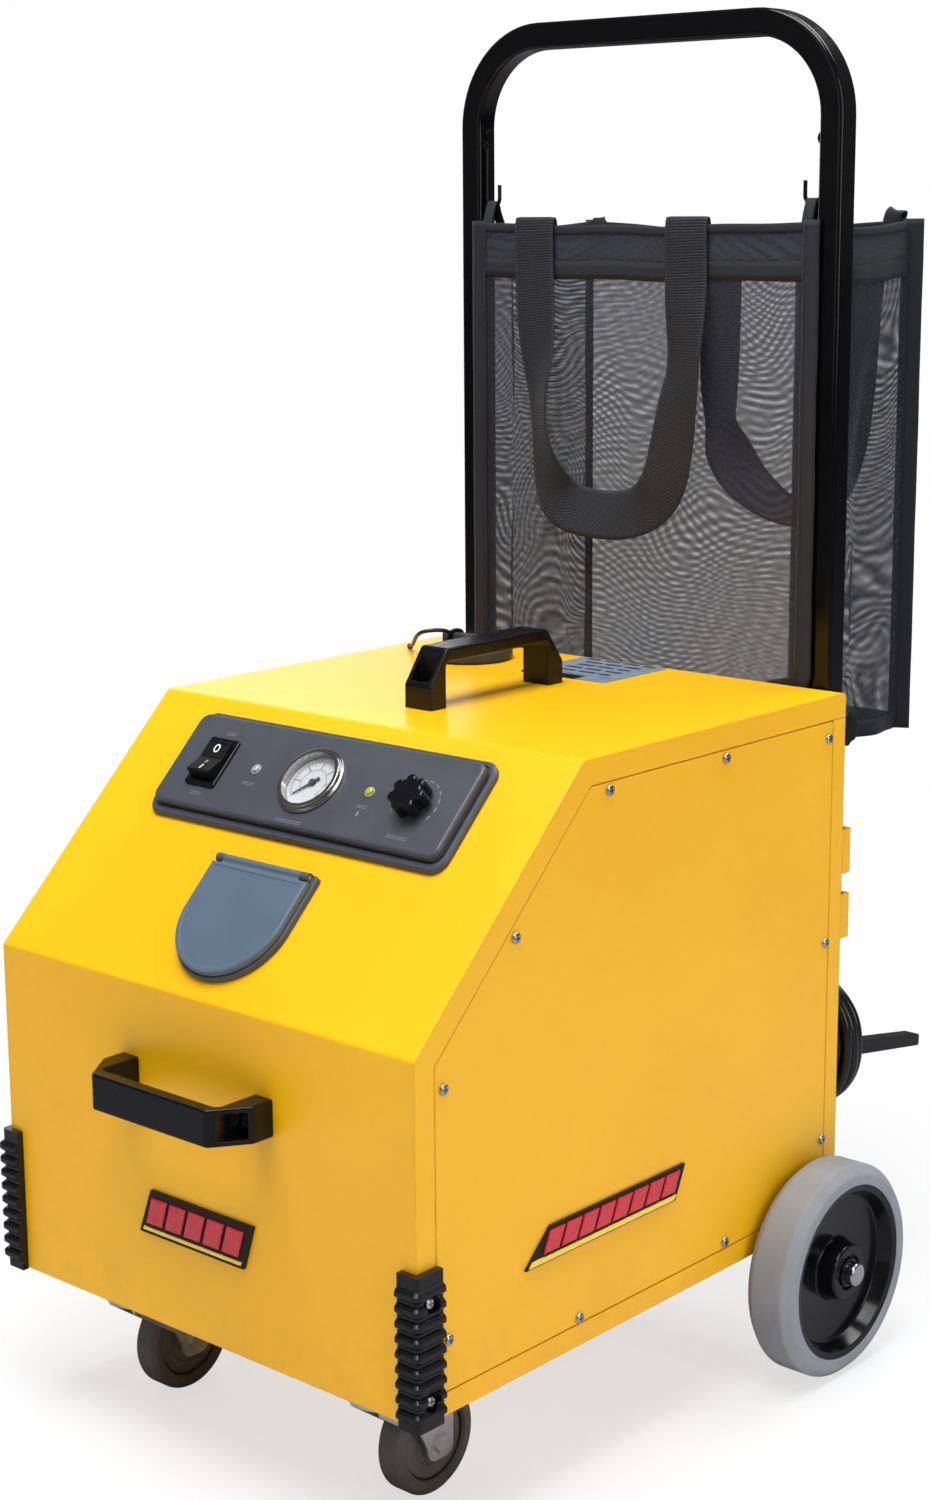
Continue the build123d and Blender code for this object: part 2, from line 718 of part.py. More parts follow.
def flap_outline(half, top):
    """U-shaped outline: straight top at height top and a round lower end."""
    with Locations(OUTLET_AT):
        Circle(half)
    with Locations((0, (LID_UP + top) / 2)):
        Rectangle(2 * half, top - LID_UP)
    with Locations((0, top + half)):
        Rectangle(2 * half + 2, 2 * half, mode=Mode.SUBTRACT)


with BuildPart() as socket_housing:
    with BuildSketch(SLOPE) as plate:
        flap_outline(47.3, 104.4)
        fillet(plate.vertices().filter_by(lambda v: v.Y > 100), radius=3)
    extrude(amount=4.6)
    chamfer(slope_rim(socket_housing), length=0.8)
    with BuildSketch(SLOPE), Locations(OUTLET_AT):
        Circle(27.8)
    extrude(amount=-24)
    # hinge lugs
    for lug_x in (-HINGE_HALF, HINGE_HALF - LUG_W):
        with BuildSketch(across_slope(lug_x, HINGE_UP, HINGE_OUT)):
            Circle(3.3)
            with Locations((0, -2.2)):
                Rectangle(6.6, 4.4)
        extrude(amount=LUG_W)
    # clearance under the lid's knuckle
    with BuildSketch(SLOPE.offset(2.6)), Locations((0, 101.4)):
        Rectangle(73.7, 9.8)
    extrude(amount=12, mode=Mode.SUBTRACT)
    # recess around the coupler
    with BuildSketch(SLOPE.offset(RECESS_FLOOR)), Locations(OUTLET_AT):
        Circle(25.0)
    extrude(amount=40, mode=Mode.SUBTRACT)
    with BuildSketch(SLOPE.offset(-30)), Locations(OUTLET_AT):
        Circle(12.0)
    extrude(amount=20, mode=Mode.SUBTRACT)
    with BuildSketch(HINGE_BORE):
        Circle(1.3)
    extrude(amount=100, mode=Mode.SUBTRACT)
save(socket_housing, "socket_housing")

with BuildPart() as socket_lid:
    with BuildSketch(SLOPE.offset(LID_BACK)):
        flap_outline(45.3, 96.6)
    extrude(amount=4.4)
    fillet(slope_rim(socket_lid), radius=1.5)
    # shallow dished face
    with BuildSketch(SLOPE.offset(9.1)):
        flap_outline(41.5, 93.5)
    extrude(amount=2, mode=Mode.SUBTRACT)
    # hinge knuckle and its web to the lid
    with BuildSketch(across_slope(-KNUCKLE_HALF, HINGE_UP, HINGE_OUT)):
        Circle(3.2)
        with Locations((-2.6, 0.2)):
            Rectangle(3.4, 3.6)
    extrude(amount=2 * KNUCKLE_HALF)
    # sealing lip that drops towards the recess
    with BuildSketch(SLOPE.offset(LID_BACK)), Locations(OUTLET_AT):
        Circle(23.5)
        Circle(21.5, mode=Mode.SUBTRACT)
    extrude(amount=-2.0)
    with BuildSketch(HINGE_BORE):
        Circle(1.31)
    extrude(amount=100, mode=Mode.SUBTRACT)
save(socket_lid, "socket_lid")

with BuildPart() as lid_hinge_pin:
    with BuildSketch(across_slope(-HINGE_HALF, HINGE_UP, HINGE_OUT)):
        Circle(1.25)
    extrude(amount=2 * HINGE_HALF)
save(lid_hinge_pin, "lid_hinge_pin")

with BuildPart() as steam_socket:
    with BuildSketch(SLOPE.offset(RECESS_FLOOR)), Locations(OUTLET_AT):
        Circle(16.0)
    extrude(amount=18.0)
    fillet(slope_rim(steam_socket), radius=1.2)
    # stepped tail: start, radius and length inwards
    for start, tail_r, length in ((RECESS_FLOOR, 12.0, 12.0), (RECESS_FLOOR - 12.0, 5.0, 10.0)):
        with BuildSketch(SLOPE.offset(start)), Locations(OUTLET_AT):
            Circle(tail_r)
        extrude(amount=-length)
    with BuildSketch(SLOPE.offset(-24.0)), Locations(OUTLET_AT):
        Circle(8.0)
    extrude(amount=40, mode=Mode.SUBTRACT)
save(steam_socket, "steam_socket")

# --------------------------------------------------------------- water filler
NECK_FOOT = 374.2       # height of the filler neck's lower end

with BuildPart() as filler_neck:
    with BuildSketch(level(BODY_H)), Locations(CAP_AT):
        Circle(33.0)
    extrude(amount=2.0)
    with BuildSketch(level(NECK_FOOT)), Locations(CAP_AT):
        Circle(26.6)
    extrude(amount=26.0)
    with BuildSketch(level(370)), Locations(CAP_AT):
        Circle(22.4)
    extrude(amount=40, mode=Mode.SUBTRACT)
save(filler_neck, "filler_neck")

with BuildPart() as filler_cap:
    with BuildSketch(level(402.2)), Locations(CAP_AT):
        Circle(35.0)
    extrude(amount=6.6)
    fillet(filler_cap.faces().sort_by(Axis.Z)[-1].edges(), radius=2.0)
    # skirt inside the neck
    with BuildSketch(level(387)), Locations(CAP_AT):
        Circle(22.1)
        Circle(19.0, mode=Mode.SUBTRACT)
    extrude(amount=16)
    # grip bar
    with BuildSketch(level(408.5)), Locations(CAP_AT):
        RectangleRounded(50.0, 9.6, 4.0)
    extrude(amount=10.5)
    fillet(filler_cap.faces().sort_by(Axis.Z)[-1].edges(), radius=2.0)
save(filler_cap, "filler_cap")

with BuildPart() as cap_tether:
    with BuildLine() as tether_path:
        Spline(
            point(CAP_X - 26.2, CAP_DEPTH, 416.0),
            point(CAP_X - 34.0, CAP_DEPTH - 1, 424.5),
            point(CAP_X - 46.0, CAP_DEPTH - 4, 426.0),
            point(CAP_X - 58.0, CAP_DEPTH - 9, 416.0),
            point(CAP_X - 67.0, CAP_DEPTH - 14, 403.5),
            tangents=[(-0.6, 0, 1), (-0.5, -0.3, -1)],
        )
    with BuildSketch(Plane(origin=tether_path.line @ 0, z_dir=tether_path.line % 0)):
        Circle(1.2)
    sweep()
save(cap_tether, "cap_tether")

# ----------------------------------------------------------------- nameplates
with BuildPart() as rating_plate:
    with BuildSketch(level(BODY_H)), Locations((-1.5, y(419))):
        RectangleRounded(81.8, 77.0, 2.5)
    extrude(amount=0.6)

# slanted badges on the front and on both sides
with BuildPart() as badges:
    with BuildSketch(front_plane(0)):
        with BuildLine():
            Polyline((-58, z(64)), (44, z(64)), (54, z(96)), (-46, z(96)), close=True)
        make_face()
    extrude(amount=2.4)
    for side in (1, -1):
        with BuildSketch(Plane.YZ.offset(side * HALF_W)):
            with BuildLine():
                Polyline(*side_points((102, 72), (262, 72), (273, 96), (127, 96)), close=True)
            make_face()
        extrude(amount=side * 2.0)
save_group("nameplates", rating_plate, badges)

# ---------------------------------------------------------------- rear wheels
AXLE_CENTRE = (0, y(AXLE_DEPTH), WHEEL_R)
AXLE = Axis(AXLE_CENTRE, (1, 0, 0))
RADIAL = Plane(origin=AXLE_CENTRE, x_dir=(1, 0, 0), z_dir=(0, -1, 0))   # (x, radius)
AXLE_END = 244.0
COLLAR_R, COLLAR_IN, COLLAR_OUT = 10.5, 190, 201.6
BORE_R = AXLE_R + 0.06

with BuildPart() as rear_axle:
    with BuildSketch(RADIAL):
        with BuildLine():
            Polyline(
                (-AXLE_END, 0), (-AXLE_END, AXLE_R), (-COLLAR_OUT, AXLE_R),
                (-COLLAR_OUT, COLLAR_R), (-COLLAR_IN, COLLAR_R), (-COLLAR_IN, AXLE_R),
                (COLLAR_IN, AXLE_R), (COLLAR_IN, COLLAR_R), (COLLAR_OUT, COLLAR_R),
                (COLLAR_OUT, AXLE_R), (AXLE_END, AXLE_R), (AXLE_END, 0),
                close=True,
            )
        make_face()
    revolve(axis=AXLE)
save(rear_axle, "rear_axle")

BRACKET_X = 181         # outer face of the axle bracket
BRACKET_WALL = 4
BRACKET_FOOT_W = 35

with BuildPart() as axle_brackets:
    with BuildSketch(Plane.YZ.offset(BRACKET_X)) as plate:
        with BuildLine():
            Polyline(*side_points((390, 0), (450, 0), (436, -37), (404, -37)), close=True)
        make_face()
        fillet(plate.vertices().filter_by(lambda v: v.Y < z(-5)), radius=10)
        with Locations((y(AXLE_DEPTH), WHEEL_R)):
            Circle(AXLE_R + 0.1, mode=Mode.SUBTRACT)
    extrude(amount=-BRACKET_WALL)
    with BuildSketch(level(0)), Locations((BRACKET_X - BRACKET_FOOT_W / 2, y(AXLE_DEPTH))):
        Rectangle(BRACKET_FOOT_W, 60)
    extrude(amount=-BRACKET_WALL)
    with BuildSketch(level(0)), Locations(*BRACKET_BOLTS):
        Circle(BOLT_HOLE_R)
    extrude(amount=-10, mode=Mode.SUBTRACT)
    mirror(about=Plane.YZ)
save(axle_brackets, "axle_brackets")

with BuildPart() as axle_caps:
    with BuildSketch(RADIAL) as cap_face:
        with BuildLine():
            Polyline(
                (241.7, AXLE_R), (241.7, 8.7), (249.0, 8.7), (249.0, 0), (AXLE_END, 0),
                (AXLE_END, AXLE_R),
                close=True,
            )
        make_face()
        fillet(cap_face.vertices().sort_by(Axis.X)[-2:].sort_by(Axis.Y)[-1], radius=2.0)
    revolve(axis=AXLE)
    mirror(about=Plane.YZ)
save(axle_caps, "axle_caps")

BEAD_R, SHOULDER_R = 65.5, 73.5     # tyre's inner edge and start of its shoulder

with BuildPart() as tyre_right:
    with BuildSketch(RADIAL) as tyre_face:
        with BuildLine():
            Polyline(
                (WHEEL_IN, BEAD_R), (WHEEL_IN, SHOULDER_R), (WHEEL_IN + 7, WHEEL_R),
                (WHEEL_OUT - 7, WHEEL_R), (WHEEL_OUT, SHOULDER_R), (WHEEL_OUT, BEAD_R),
                close=True,
            )
        make_face()
        fillet(tyre_face.vertices().filter_by(lambda v: v.Y > 70), radius=4)
        fillet(tyre_face.vertices().filter_by(lambda v: v.Y < 66), radius=1.2)
    revolve(axis=AXLE)
save(tyre_right, "tyre_right")

RIM_R = BEAD_R - 0.1

with BuildPart() as rim_right:
    with BuildSketch(RADIAL) as rim_face:
        with BuildLine():
            Polyline(
                (WHEEL_IN, BORE_R), (WHEEL_IN, 20.5), (219.0, 23.5), (221.0, 56.0),
                (WHEEL_IN + 2, 60.5), (WHEEL_IN + 1.2, RIM_R), (WHEEL_OUT - 1.2, RIM_R),
                (WHEEL_OUT - 2, 60.5), (229.0, 56.0), (227.0, 23.5), (WHEEL_OUT - 0.6, 20.5),
                (WHEEL_OUT - 0.6, 13.5), (WHEEL_OUT - 3.4, 13.0), (WHEEL_OUT - 3.4, 11.0),
                (WHEEL_OUT, 10.6), (WHEEL_OUT, BORE_R),
                close=True,
            )
        make_face()
        fillet(rim_face.vertices().filter_by(lambda v: 19 < v.Y < 58), radius=2.0)
    revolve(axis=AXLE)
save(rim_right, "rim_right")
save(mirrored(tyre_right), "tyre_left")
save(mirrored(rim_right), "rim_left")

# -------------------------------------------------------------------- casters
# Swivel section plane: (distance from the swivel axis, height).
SWIVEL = Plane(origin=(*SWIVEL_AT, FLOOR_GAP), x_dir=(1, 0, 0), z_dir=(0, -1, 0))
SWIVEL_AXIS = Axis((*SWIVEL_AT, 0), (0, 0, 1))
PLATE_T = 3             # caster plate thickness
RACE_R = 25.6           # lower rim of the swivel race
KINGPIN_R = 5.0
FORK_HALF, FORK_WALL = 13.9, 2.4
PIN_R = 4.0             # caster axle bolt
CASTER_HUB = (y(CASTER_DEPTH), CASTER_R)

with BuildPart() as caster_plates:
    with BuildSketch(level(0)), Locations(SWIVEL_AT):
        RectangleRounded(72, 62, 6)
    extrude(amount=-PLATE_T)
    # swivel race and kingpin
    with BuildSketch(SWIVEL):
        with BuildLine():
            Polyline(
                (0, -3), (24.0, -3), (26.0, -9), (RACE_R, -16.2), (14, -16.2), (13, -14),
                (KINGPIN_R, -14), (KINGPIN_R, -20.4), (8.5, -20.6), (8.0, -23.5), (0, -23.5),
                close=True,
            )
        make_face()
    revolve(axis=SWIVEL_AXIS)
    with BuildSketch(level(0)), Locations(*CASTER_BOLTS):
        Circle(BOLT_HOLE_R)
    extrude(amount=-PLATE_T, mode=Mode.SUBTRACT)
    mirror(about=Plane.YZ)
save(caster_plates, "caster_plates")

with BuildPart() as caster_fork_right:
    with BuildSketch(level(-17)):
        with Locations(SWIVEL_AT):
            Circle(RACE_R)
        with Locations((CASTER_X, y(70))):
            Rectangle(2 * FORK_HALF, 38)
    extrude(amount=-3)
    for leg_x in (-FORK_HALF, FORK_HALF - FORK_WALL):
        with BuildSketch(Plane.YZ.offset(CASTER_X + leg_x)) as leg:
            with BuildLine():
                Polyline(
                    (y(30), z(-17)), (y(89), z(-17)), (y(101.4), z(-30)), (y(101.4), CASTER_R),
                    (y(101.4), 26.5), (y(78), 26.5), (y(75.6), CASTER_R), (y(70.5), z(-53)),
                    (y(32), z(-25)),
                    close=True,
                )
            make_face()
            fillet(leg.vertices().filter_by(lambda v: v.Y < 30), radius=8)
        extrude(amount=FORK_WALL)
    with BuildSketch(level(-10)), Locations(SWIVEL_AT):
        Circle(KINGPIN_R + 0.06)
    extrude(amount=-15, mode=Mode.SUBTRACT)
    with BuildSketch(Plane.YZ.offset(CASTER_X)), Locations(CASTER_HUB):
        Circle(PIN_R)
    extrude(amount=20, both=True, mode=Mode.SUBTRACT)

with BuildPart() as caster_axle_right:
    with BuildSketch(Plane.YZ.offset(CASTER_X - FORK_HALF)), Locations(CASTER_HUB):
        Circle(PIN_R)
    extrude(amount=2 * FORK_HALF)
    # hexagon head and nut
    for side in (1, -1):
        with BuildSketch(Plane.YZ.offset(CASTER_X + side * FORK_HALF)), Locations(CASTER_HUB):
            RegularPolygon(6.8, 6)
        extrude(amount=side * 3.2)
save_group("caster_fork_right", caster_fork_right, caster_axle_right)

CASTER_RADIAL = Plane(origin=(CASTER_X, *CASTER_HUB), x_dir=(1, 0, 0), z_dir=(0, -1, 0))

with BuildPart() as caster_wheel_right:
    with BuildSketch(CASTER_RADIAL) as wheel_face:
        with BuildLine():
            Polyline(
                (-11.3, 4.06), (-11.3, 11), (-7.5, 12), (-7.0, 27), (-10.6, 29), (-10.6, 34.5),
                (-7.5, CASTER_R), (7.5, CASTER_R), (10.6, 34.5), (10.6, 29), (7.0, 27),
                (7.5, 12), (11.3, 11), (11.3, 4.06),
                close=True,
            )
        make_face()
        fillet(wheel_face.vertices().filter_by(lambda v: v.Y > 33), radius=2.5)
    revolve(axis=Axis((0, *CASTER_HUB), (1, 0, 0)))
save(caster_wheel_right, "caster_wheel_right")

save_group("caster_fork_left", mirrored(caster_fork_right), mirrored(caster_axle_right))
save(mirrored(caster_wheel_right), "caster_wheel_left")

# ---------------------------------------------------------------------- bolts
HEX_R = 5.6             # hexagon head and nut, across-corners radius

# bolts that hold the caster plates and the axle brackets to the tray
with BuildPart() as chassis_bolts:
    for spots, seat in ((CASTER_BOLTS, -PLATE_T), (BRACKET_BOLTS, -BRACKET_WALL)):
        with BuildSketch(level(seat)), Locations(*spots):
            RegularPolygon(HEX_R, 6)
        extrude(amount=-4)
        with BuildSketch(level(seat)), Locations(*spots):
            Circle(3.0)
        extrude(amount=10.5)
        with BuildSketch(level(SHEET)), Locations(*spots):
            RegularPolygon(HEX_R, 6)
        extrude(amount=4.5)
save_group("bolts", handle_screws, chassis_bolts)

# ---------------------------------------------------------------- push handle
TUBE_WALL = 1.8
BEND_FOOT = TUBE_TOP - TUBE_BEND                # height where the bends start
BEND_MID = TUBE_BEND * (1 - math.sqrt(0.5))     # middle of a bend from its outer corner
BAR_END = TUBE_X - TUBE_BEND                    # X where the straight top bar ends
KNOB_HOLE_AT = (y(TUBE_DEPTH), z(370))          # clamp stud in side view
STUD_R = 4.0
STUD_HOLE_R = STUD_R + 0.05


def tube_point(x, height):
    """Point on the handle's upright centre plane."""
    return point(x, TUBE_DEPTH, height)


with BuildPart() as push_handle:
    with BuildLine():
        Polyline(tube_point(-TUBE_X, TUBE_LOW), tube_point(-TUBE_X, BEND_FOOT))
        ThreePointArc(
            tube_point(-TUBE_X, BEND_FOOT),
            tube_point(-TUBE_X + BEND_MID, TUBE_TOP - BEND_MID),
            tube_point(-BAR_END, TUBE_TOP),
        )
        Line(tube_point(-BAR_END, TUBE_TOP), tube_point(BAR_END, TUBE_TOP))
        ThreePointArc(
            tube_point(BAR_END, TUBE_TOP),
            tube_point(TUBE_X - BEND_MID, TUBE_TOP - BEND_MID),
            tube_point(TUBE_X, BEND_FOOT),
        )
        Line(tube_point(TUBE_X, BEND_FOOT), tube_point(TUBE_X, TUBE_LOW))
    tube_start = tube_point(-TUBE_X, TUBE_LOW)
    with BuildSketch(Plane(origin=tube_start, x_dir=(1, 0, 0), z_dir=(0, 0, 1))):
        RectangleRounded(TUBE, TUBE, 3.0)
        RectangleRounded(TUBE - 2 * TUBE_WALL, TUBE - 2 * TUBE_WALL, 1.4, mode=Mode.SUBTRACT)
    sweep()
    # knob stud holes through both walls of each upright
    with BuildSketch(Plane.YZ), Locations(KNOB_HOLE_AT):
        Circle(STUD_HOLE_R)
    extrude(amount=185, both=True, mode=Mode.SUBTRACT)
save(push_handle, "push_handle")

SADDLE_H = 33.5
STRAP_FOOT = BODY_D + 3     # depth of the mounting feet's rear faces

with BuildPart() as handle_saddles:
    for saddle_low in (208.0, 258.0):
        with BuildSketch(level(saddle_low)):
            with BuildLine():
                Polyline(
                    *plan_points(
                        (136, BODY_D), (155.4, BODY_D), (155.4, 492.8), (181.5, 492.8),
                        (181.5, BODY_D), (195, BODY_D), (195, STRAP_FOOT), (184.6, STRAP_FOOT),
                        (184.6, 495.9), (152.3, 495.9), (152.3, STRAP_FOOT), (136, STRAP_FOOT),
                    ),
                    close=True,
                )
            make_face()
        extrude(amount=SADDLE_H)
        # rubber pads between the tube, the strap and the panel
        with BuildSketch(level(saddle_low + 2)):
            with Locations((TUBE_X, y(466.9))):
                Rectangle(24.0, 5.8)
            with Locations((TUBE_X, y(491.15))):
                Rectangle(24.0, 3.3)
        extrude(amount=SADDLE_H - 4)
    fillet(
        handle_saddles.edges().filter_by(Axis.Z).filter_by(lambda e: e.center().Y > y(494)),
        radius=3,
    )
    mirror(about=Plane.YZ)

with BuildPart() as handle_brackets:
    with BuildSketch(level(354)):
        with BuildLine():
            Polyline(
                *plan_points(
                    (134, BODY_D), (158.4, BODY_D), (158.4, 492), (154.4, 492),
                    (154.4, STRAP_FOOT), (134, STRAP_FOOT),
                ),
                close=True,
            )
        make_face()
    extrude(amount=26)
    with BuildSketch(Plane.YZ.offset(154.4)), Locations(KNOB_HOLE_AT):
        Circle(8.0)
    extrude(amount=-5.0)
    with BuildSketch(Plane.YZ), Locations(KNOB_HOLE_AT):
        Circle(STUD_HOLE_R)
    extrude(amount=185, both=True, mode=Mode.SUBTRACT)
    mirror(about=Plane.YZ)
save_group("handle_mounts", handle_saddles, handle_brackets)

KNOB_FOOT_X = TUBE_X + TUBE / 2 + 0.3       # just clear of the tube

with BuildPart() as handle_knob_right:
    with BuildSketch(Plane.YZ.offset(KNOB_FOOT_X)), Locations(KNOB_HOLE_AT):
        Circle(10.0)
    extrude(amount=3)
    with BuildSketch(Plane.YZ.offset(TUBE_X + TUBE / 2 + 2.0)), Locations(KNOB_HOLE_AT):
        Circle(11.6)
        with PolarLocations(10.2, 8):
            Circle(2.8)
    extrude(amount=10.0)
    fillet(handle_knob_right.faces().sort_by(Axis.X)[-1].edges(), radius=1.4)
    with BuildSketch(Plane.YZ.offset(KNOB_FOOT_X)), Locations(KNOB_HOLE_AT):
        Circle(STUD_R)
    extrude(amount=-32)
save(handle_knob_right, "handle_knob_right")
save(mirrored(handle_knob_right), "handle_knob_left")

# ------------------------------------------------------------ hooks and tote
HOOK_DEPTH = 476.7
HOOK_OUT_X, HOOK_IN_X = 157.0, 143.8    # long and short legs of the hook
HOOK_BEND_H = 753                       # height where the bottom bend starts
HOOK_BEND_R = (HOOK_OUT_X - HOOK_IN_X) / 2


def hook_point(x, height):
    return point(x, HOOK_DEPTH, height)


with BuildPart() as bag_hooks:
    with BuildLine():
        Line(hook_point(HOOK_OUT_X, 790), hook_point(HOOK_OUT_X, HOOK_BEND_H))
        ThreePointArc(
            hook_point(HOOK_OUT_X, HOOK_BEND_H),
            hook_point(HOOK_OUT_X - HOOK_BEND_R, HOOK_BEND_H - HOOK_BEND_R),
            hook_point(HOOK_IN_X, HOOK_BEND_H),
        )
        Line(hook_point(HOOK_IN_X, HOOK_BEND_H), hook_point(HOOK_IN_X, 763))
    with BuildSketch(Plane(origin=hook_point(HOOK_OUT_X, 790), z_dir=(0, 0, -1))):
        Circle(1.5)
    sweep()
    # two round pads against the inner face of the tube
    with BuildSketch(Plane.YZ.offset(TUBE_INNER_X)):
        with Locations(*side_points((HOOK_DEPTH, 792), (TUBE_DEPTH, 801.5))):
            Circle(4.0)
    extrude(amount=-2.6)
    mirror(about=Plane.YZ)
save(bag_hooks, "bag_hooks")

with BuildPart() as bag:
    with BuildSketch(level(345)):
        with BuildLine():
            Polyline(
                *plan_points(
                    (-140.5, 466.6), (140.5, 466.6), (140.5, 490), (162.5, 493.5),
                    (162.5, 603), (-162.5, 603), (-162.5, 493.5), (-140.5, 490),
                ),
                close=True,
            )
        make_face()
    extrude(amount=389)
    # wide front sheet
    with BuildSketch(level(430)), Locations((0, y(467.7))):
        Rectangle(328, 2.2)
    extrude(amount=304)
    # clear of the straps and brackets that hold the uprights
    with BuildSketch(level(340)), Locations(*plan_points((144, 477), (-144, 477))):
        Rectangle(32, 42)
    extrude(amount=46, mode=Mode.SUBTRACT)
    # inside of the bag, wider again above the cleared corners
    with BuildSketch(level(348)):
        with BuildLine():
            Polyline(
                *plan_points(
                    (-126.0, 468.8), (126.0, 468.8), (126.0, 500), (160.5, 500),
                    (160.5, 601), (-160.5, 601), (-160.5, 500), (-126.0, 500),
                ),
                close=True,
            )
        make_face()
    extrude(amount=400, mode=Mode.SUBTRACT)
    with BuildSketch(level(389)), Locations((0, y(485))):
        Rectangle(277, 32.4)
    extrude(amount=400, mode=Mode.SUBTRACT)
save(bag, "bag")

# ---------------------------------------------------------------- power cord
COIL_H = 124.0              # height of the coil's middle
COIL_L, COIL_W, COIL_BAND = 408, 114, 18

with BuildPart() as cord_hooks:
    with BuildSketch(Plane.YZ.offset(171)) as arm:
        with BuildLine():
            Polyline(
                *side_points((BODY_D, 129), (603, 103.0), (603, 93.6), (BODY_D, 117)),
                close=True,
            )
        make_face()
        fillet(arm.vertices().filter_by(lambda v: v.X > y(590)), radius=2.0)
    extrude(amount=12)
    with BuildSketch(front_plane(BODY_D)), Locations((174, z(123))):
        RectangleRounded(34, 44, 4)
    extrude(amount=-3)
    mirror(about=Plane.YZ)
save(cord_hooks, "cord_hooks")

with BuildPart() as power_cord:
    with BuildSketch(front_plane(471.5)), Locations((0, z(COIL_H))):
        SlotOverall(COIL_L, COIL_W)
        SlotOverall(COIL_L - 2 * COIL_BAND, COIL_W - 2 * COIL_BAND, mode=Mode.SUBTRACT)
    extrude(amount=-32)
    fillet(power_cord.edges(), radius=6)
    # lead from the bushing in the rear panel
    with BuildLine() as lead:
        Spline(
            point(60, BODY_D + 1, 52),
            point(60, 482, 55),
            point(64, 486, 75),
            tangents=[(0, 1, 0), (0.1, 0, 1)],
        )
    with BuildSketch(Plane(origin=lead.line @ 0, z_dir=lead.line % 0)):
        Circle(4.0)
    sweep()

with BuildPart() as cord_bushing:
    with BuildSketch(front_plane(BODY_D)), Locations(BUSHING_AT):
        Circle(13.0)
    extrude(amount=-3)
    with BuildSketch(front_plane(BODY_D + 3)), Locations(BUSHING_AT):
        Circle(8.9)
    extrude(amount=12)
    with BuildSketch(front_plane(BODY_D + 10)), Locations(BUSHING_AT):
        Circle(4.6)
    extrude(amount=30, mode=Mode.SUBTRACT)
save_group("power_cord", power_cord, cord_bushing)

# --------------------------------------------------------------------- boiler
BOILER_DEPTH, BOILER_H = 150.0, 108.0   # axis of the boiler
BOILER_R, BOILER_X = 70.0, 125.0        # radius and half length
BOILER_WALL = 3
BOILER_TOP = BOILER_H + BOILER_R
BOILER_Y = y(BOILER_DEPTH)
BOILER_HUB = (BOILER_Y, z(BOILER_H))
BOILER_RADIAL = Plane(origin=(0, *BOILER_HUB), x_dir=(1, 0, 0), z_dir=(0, -1, 0))
BOILER_AXIS = Axis((0, *BOILER_HUB), (1, 0, 0))
INNER_X = BOILER_X - BOILER_WALL
FLANGE_X, FLANGE_R = BOILER_X - 8, 18   # heater flange in the boiler's +X end
SAFETY_X, STEAM_X, FEED_X = -40, 40, 85  # ports along the top

with BuildPart() as boiler:
    with BuildSketch(BOILER_RADIAL) as shell:
        with BuildLine():
            Polyline(
                (-BOILER_X, 0), (-BOILER_X, 36), (-105, BOILER_R), (105, BOILER_R),
                (BOILER_X, 36), (BOILER_X, 0),
                close=True,
            )
        make_face()
        fillet(shell.vertices().filter_by(lambda v: v.Y > 5), radius=14)
        with BuildLine():
            Polyline(
                (-INNER_X, 0), (-INNER_X, 33), (-103, BOILER_R - BOILER_WALL),
                (103, BOILER_R - BOILER_WALL), (INNER_X, 33), (INNER_X, 0),
                close=True,
            )
        make_face(mode=Mode.SUBTRACT)
    revolve(axis=BOILER_AXIS)
    # cradle feet down to the tray
    for foot_x in (-80, 74):
        with BuildSketch(Plane.YZ.offset(foot_x)):
            with BuildLine():
                Polyline(
                    *side_points(
                        (BOILER_DEPTH - 50, SHEET), (BOILER_DEPTH + 50, SHEET),
                        (BOILER_DEPTH + 50, 60), (BOILER_DEPTH - 50, 60),
                    ),
                    close=True,
                )
            make_face()
            with Locations(BOILER_HUB):
                Circle(BOILER_R - 1.5, mode=Mode.SUBTRACT)
        extrude(amount=6)
    # ports: heater flange, then those along the top, then the drain
    with BuildSketch(Plane.YZ.offset(FLANGE_X)), Locations(BOILER_HUB):
        Circle(FLANGE_R)
    extrude(amount=10, mode=Mode.SUBTRACT)
    with BuildSketch(level(BOILER_H + 40)):
        with Locations(*[(port_x, BOILER_Y) for port_x in (STEAM_X, SAFETY_X, 0, FEED_X)]):
            Circle(5)
    extrude(amount=60, mode=Mode.SUBTRACT)
    with BuildSketch(level(BOILER_H - 40)), Locations((0, BOILER_Y)):
        Circle(6)
    extrude(amount=-60, mode=Mode.SUBTRACT)
save(boiler, "boiler")

LOOP_R = 11             # bend radius of the element's hairpin
LOOP_X = -90            # X where the hairpin bend starts


def loop_point(x, offset):
    """Point in the boiler's mid plane, offset rearwards from its axis."""
    return point(x, BOILER_DEPTH + offset, BOILER_H)


with BuildPart() as heating_element:
    with BuildSketch(Plane.YZ.offset(FLANGE_X)), Locations(BOILER_HUB):
        Circle(FLANGE_R)
    extrude(amount=14)
    with BuildSketch(Plane.YZ.offset(BOILER_X + 6)), Locations(BOILER_HUB):
        RegularPolygon(22, 6)
    extrude(amount=8)
    with BuildLine():
        Line(loop_point(FLANGE_X, LOOP_R), loop_point(LOOP_X, LOOP_R))
        ThreePointArc(
            loop_point(LOOP_X, LOOP_R), loop_point(LOOP_X - LOOP_R, 0), loop_point(LOOP_X, -LOOP_R)
        )
        Line(loop_point(LOOP_X, -LOOP_R), loop_point(FLANGE_X, -LOOP_R))
    with BuildSketch(Plane(origin=loop_point(FLANGE_X, LOOP_R), z_dir=(-1, 0, 0))):
        Circle(4.0)
    sweep()
save(heating_element, "heating_element")

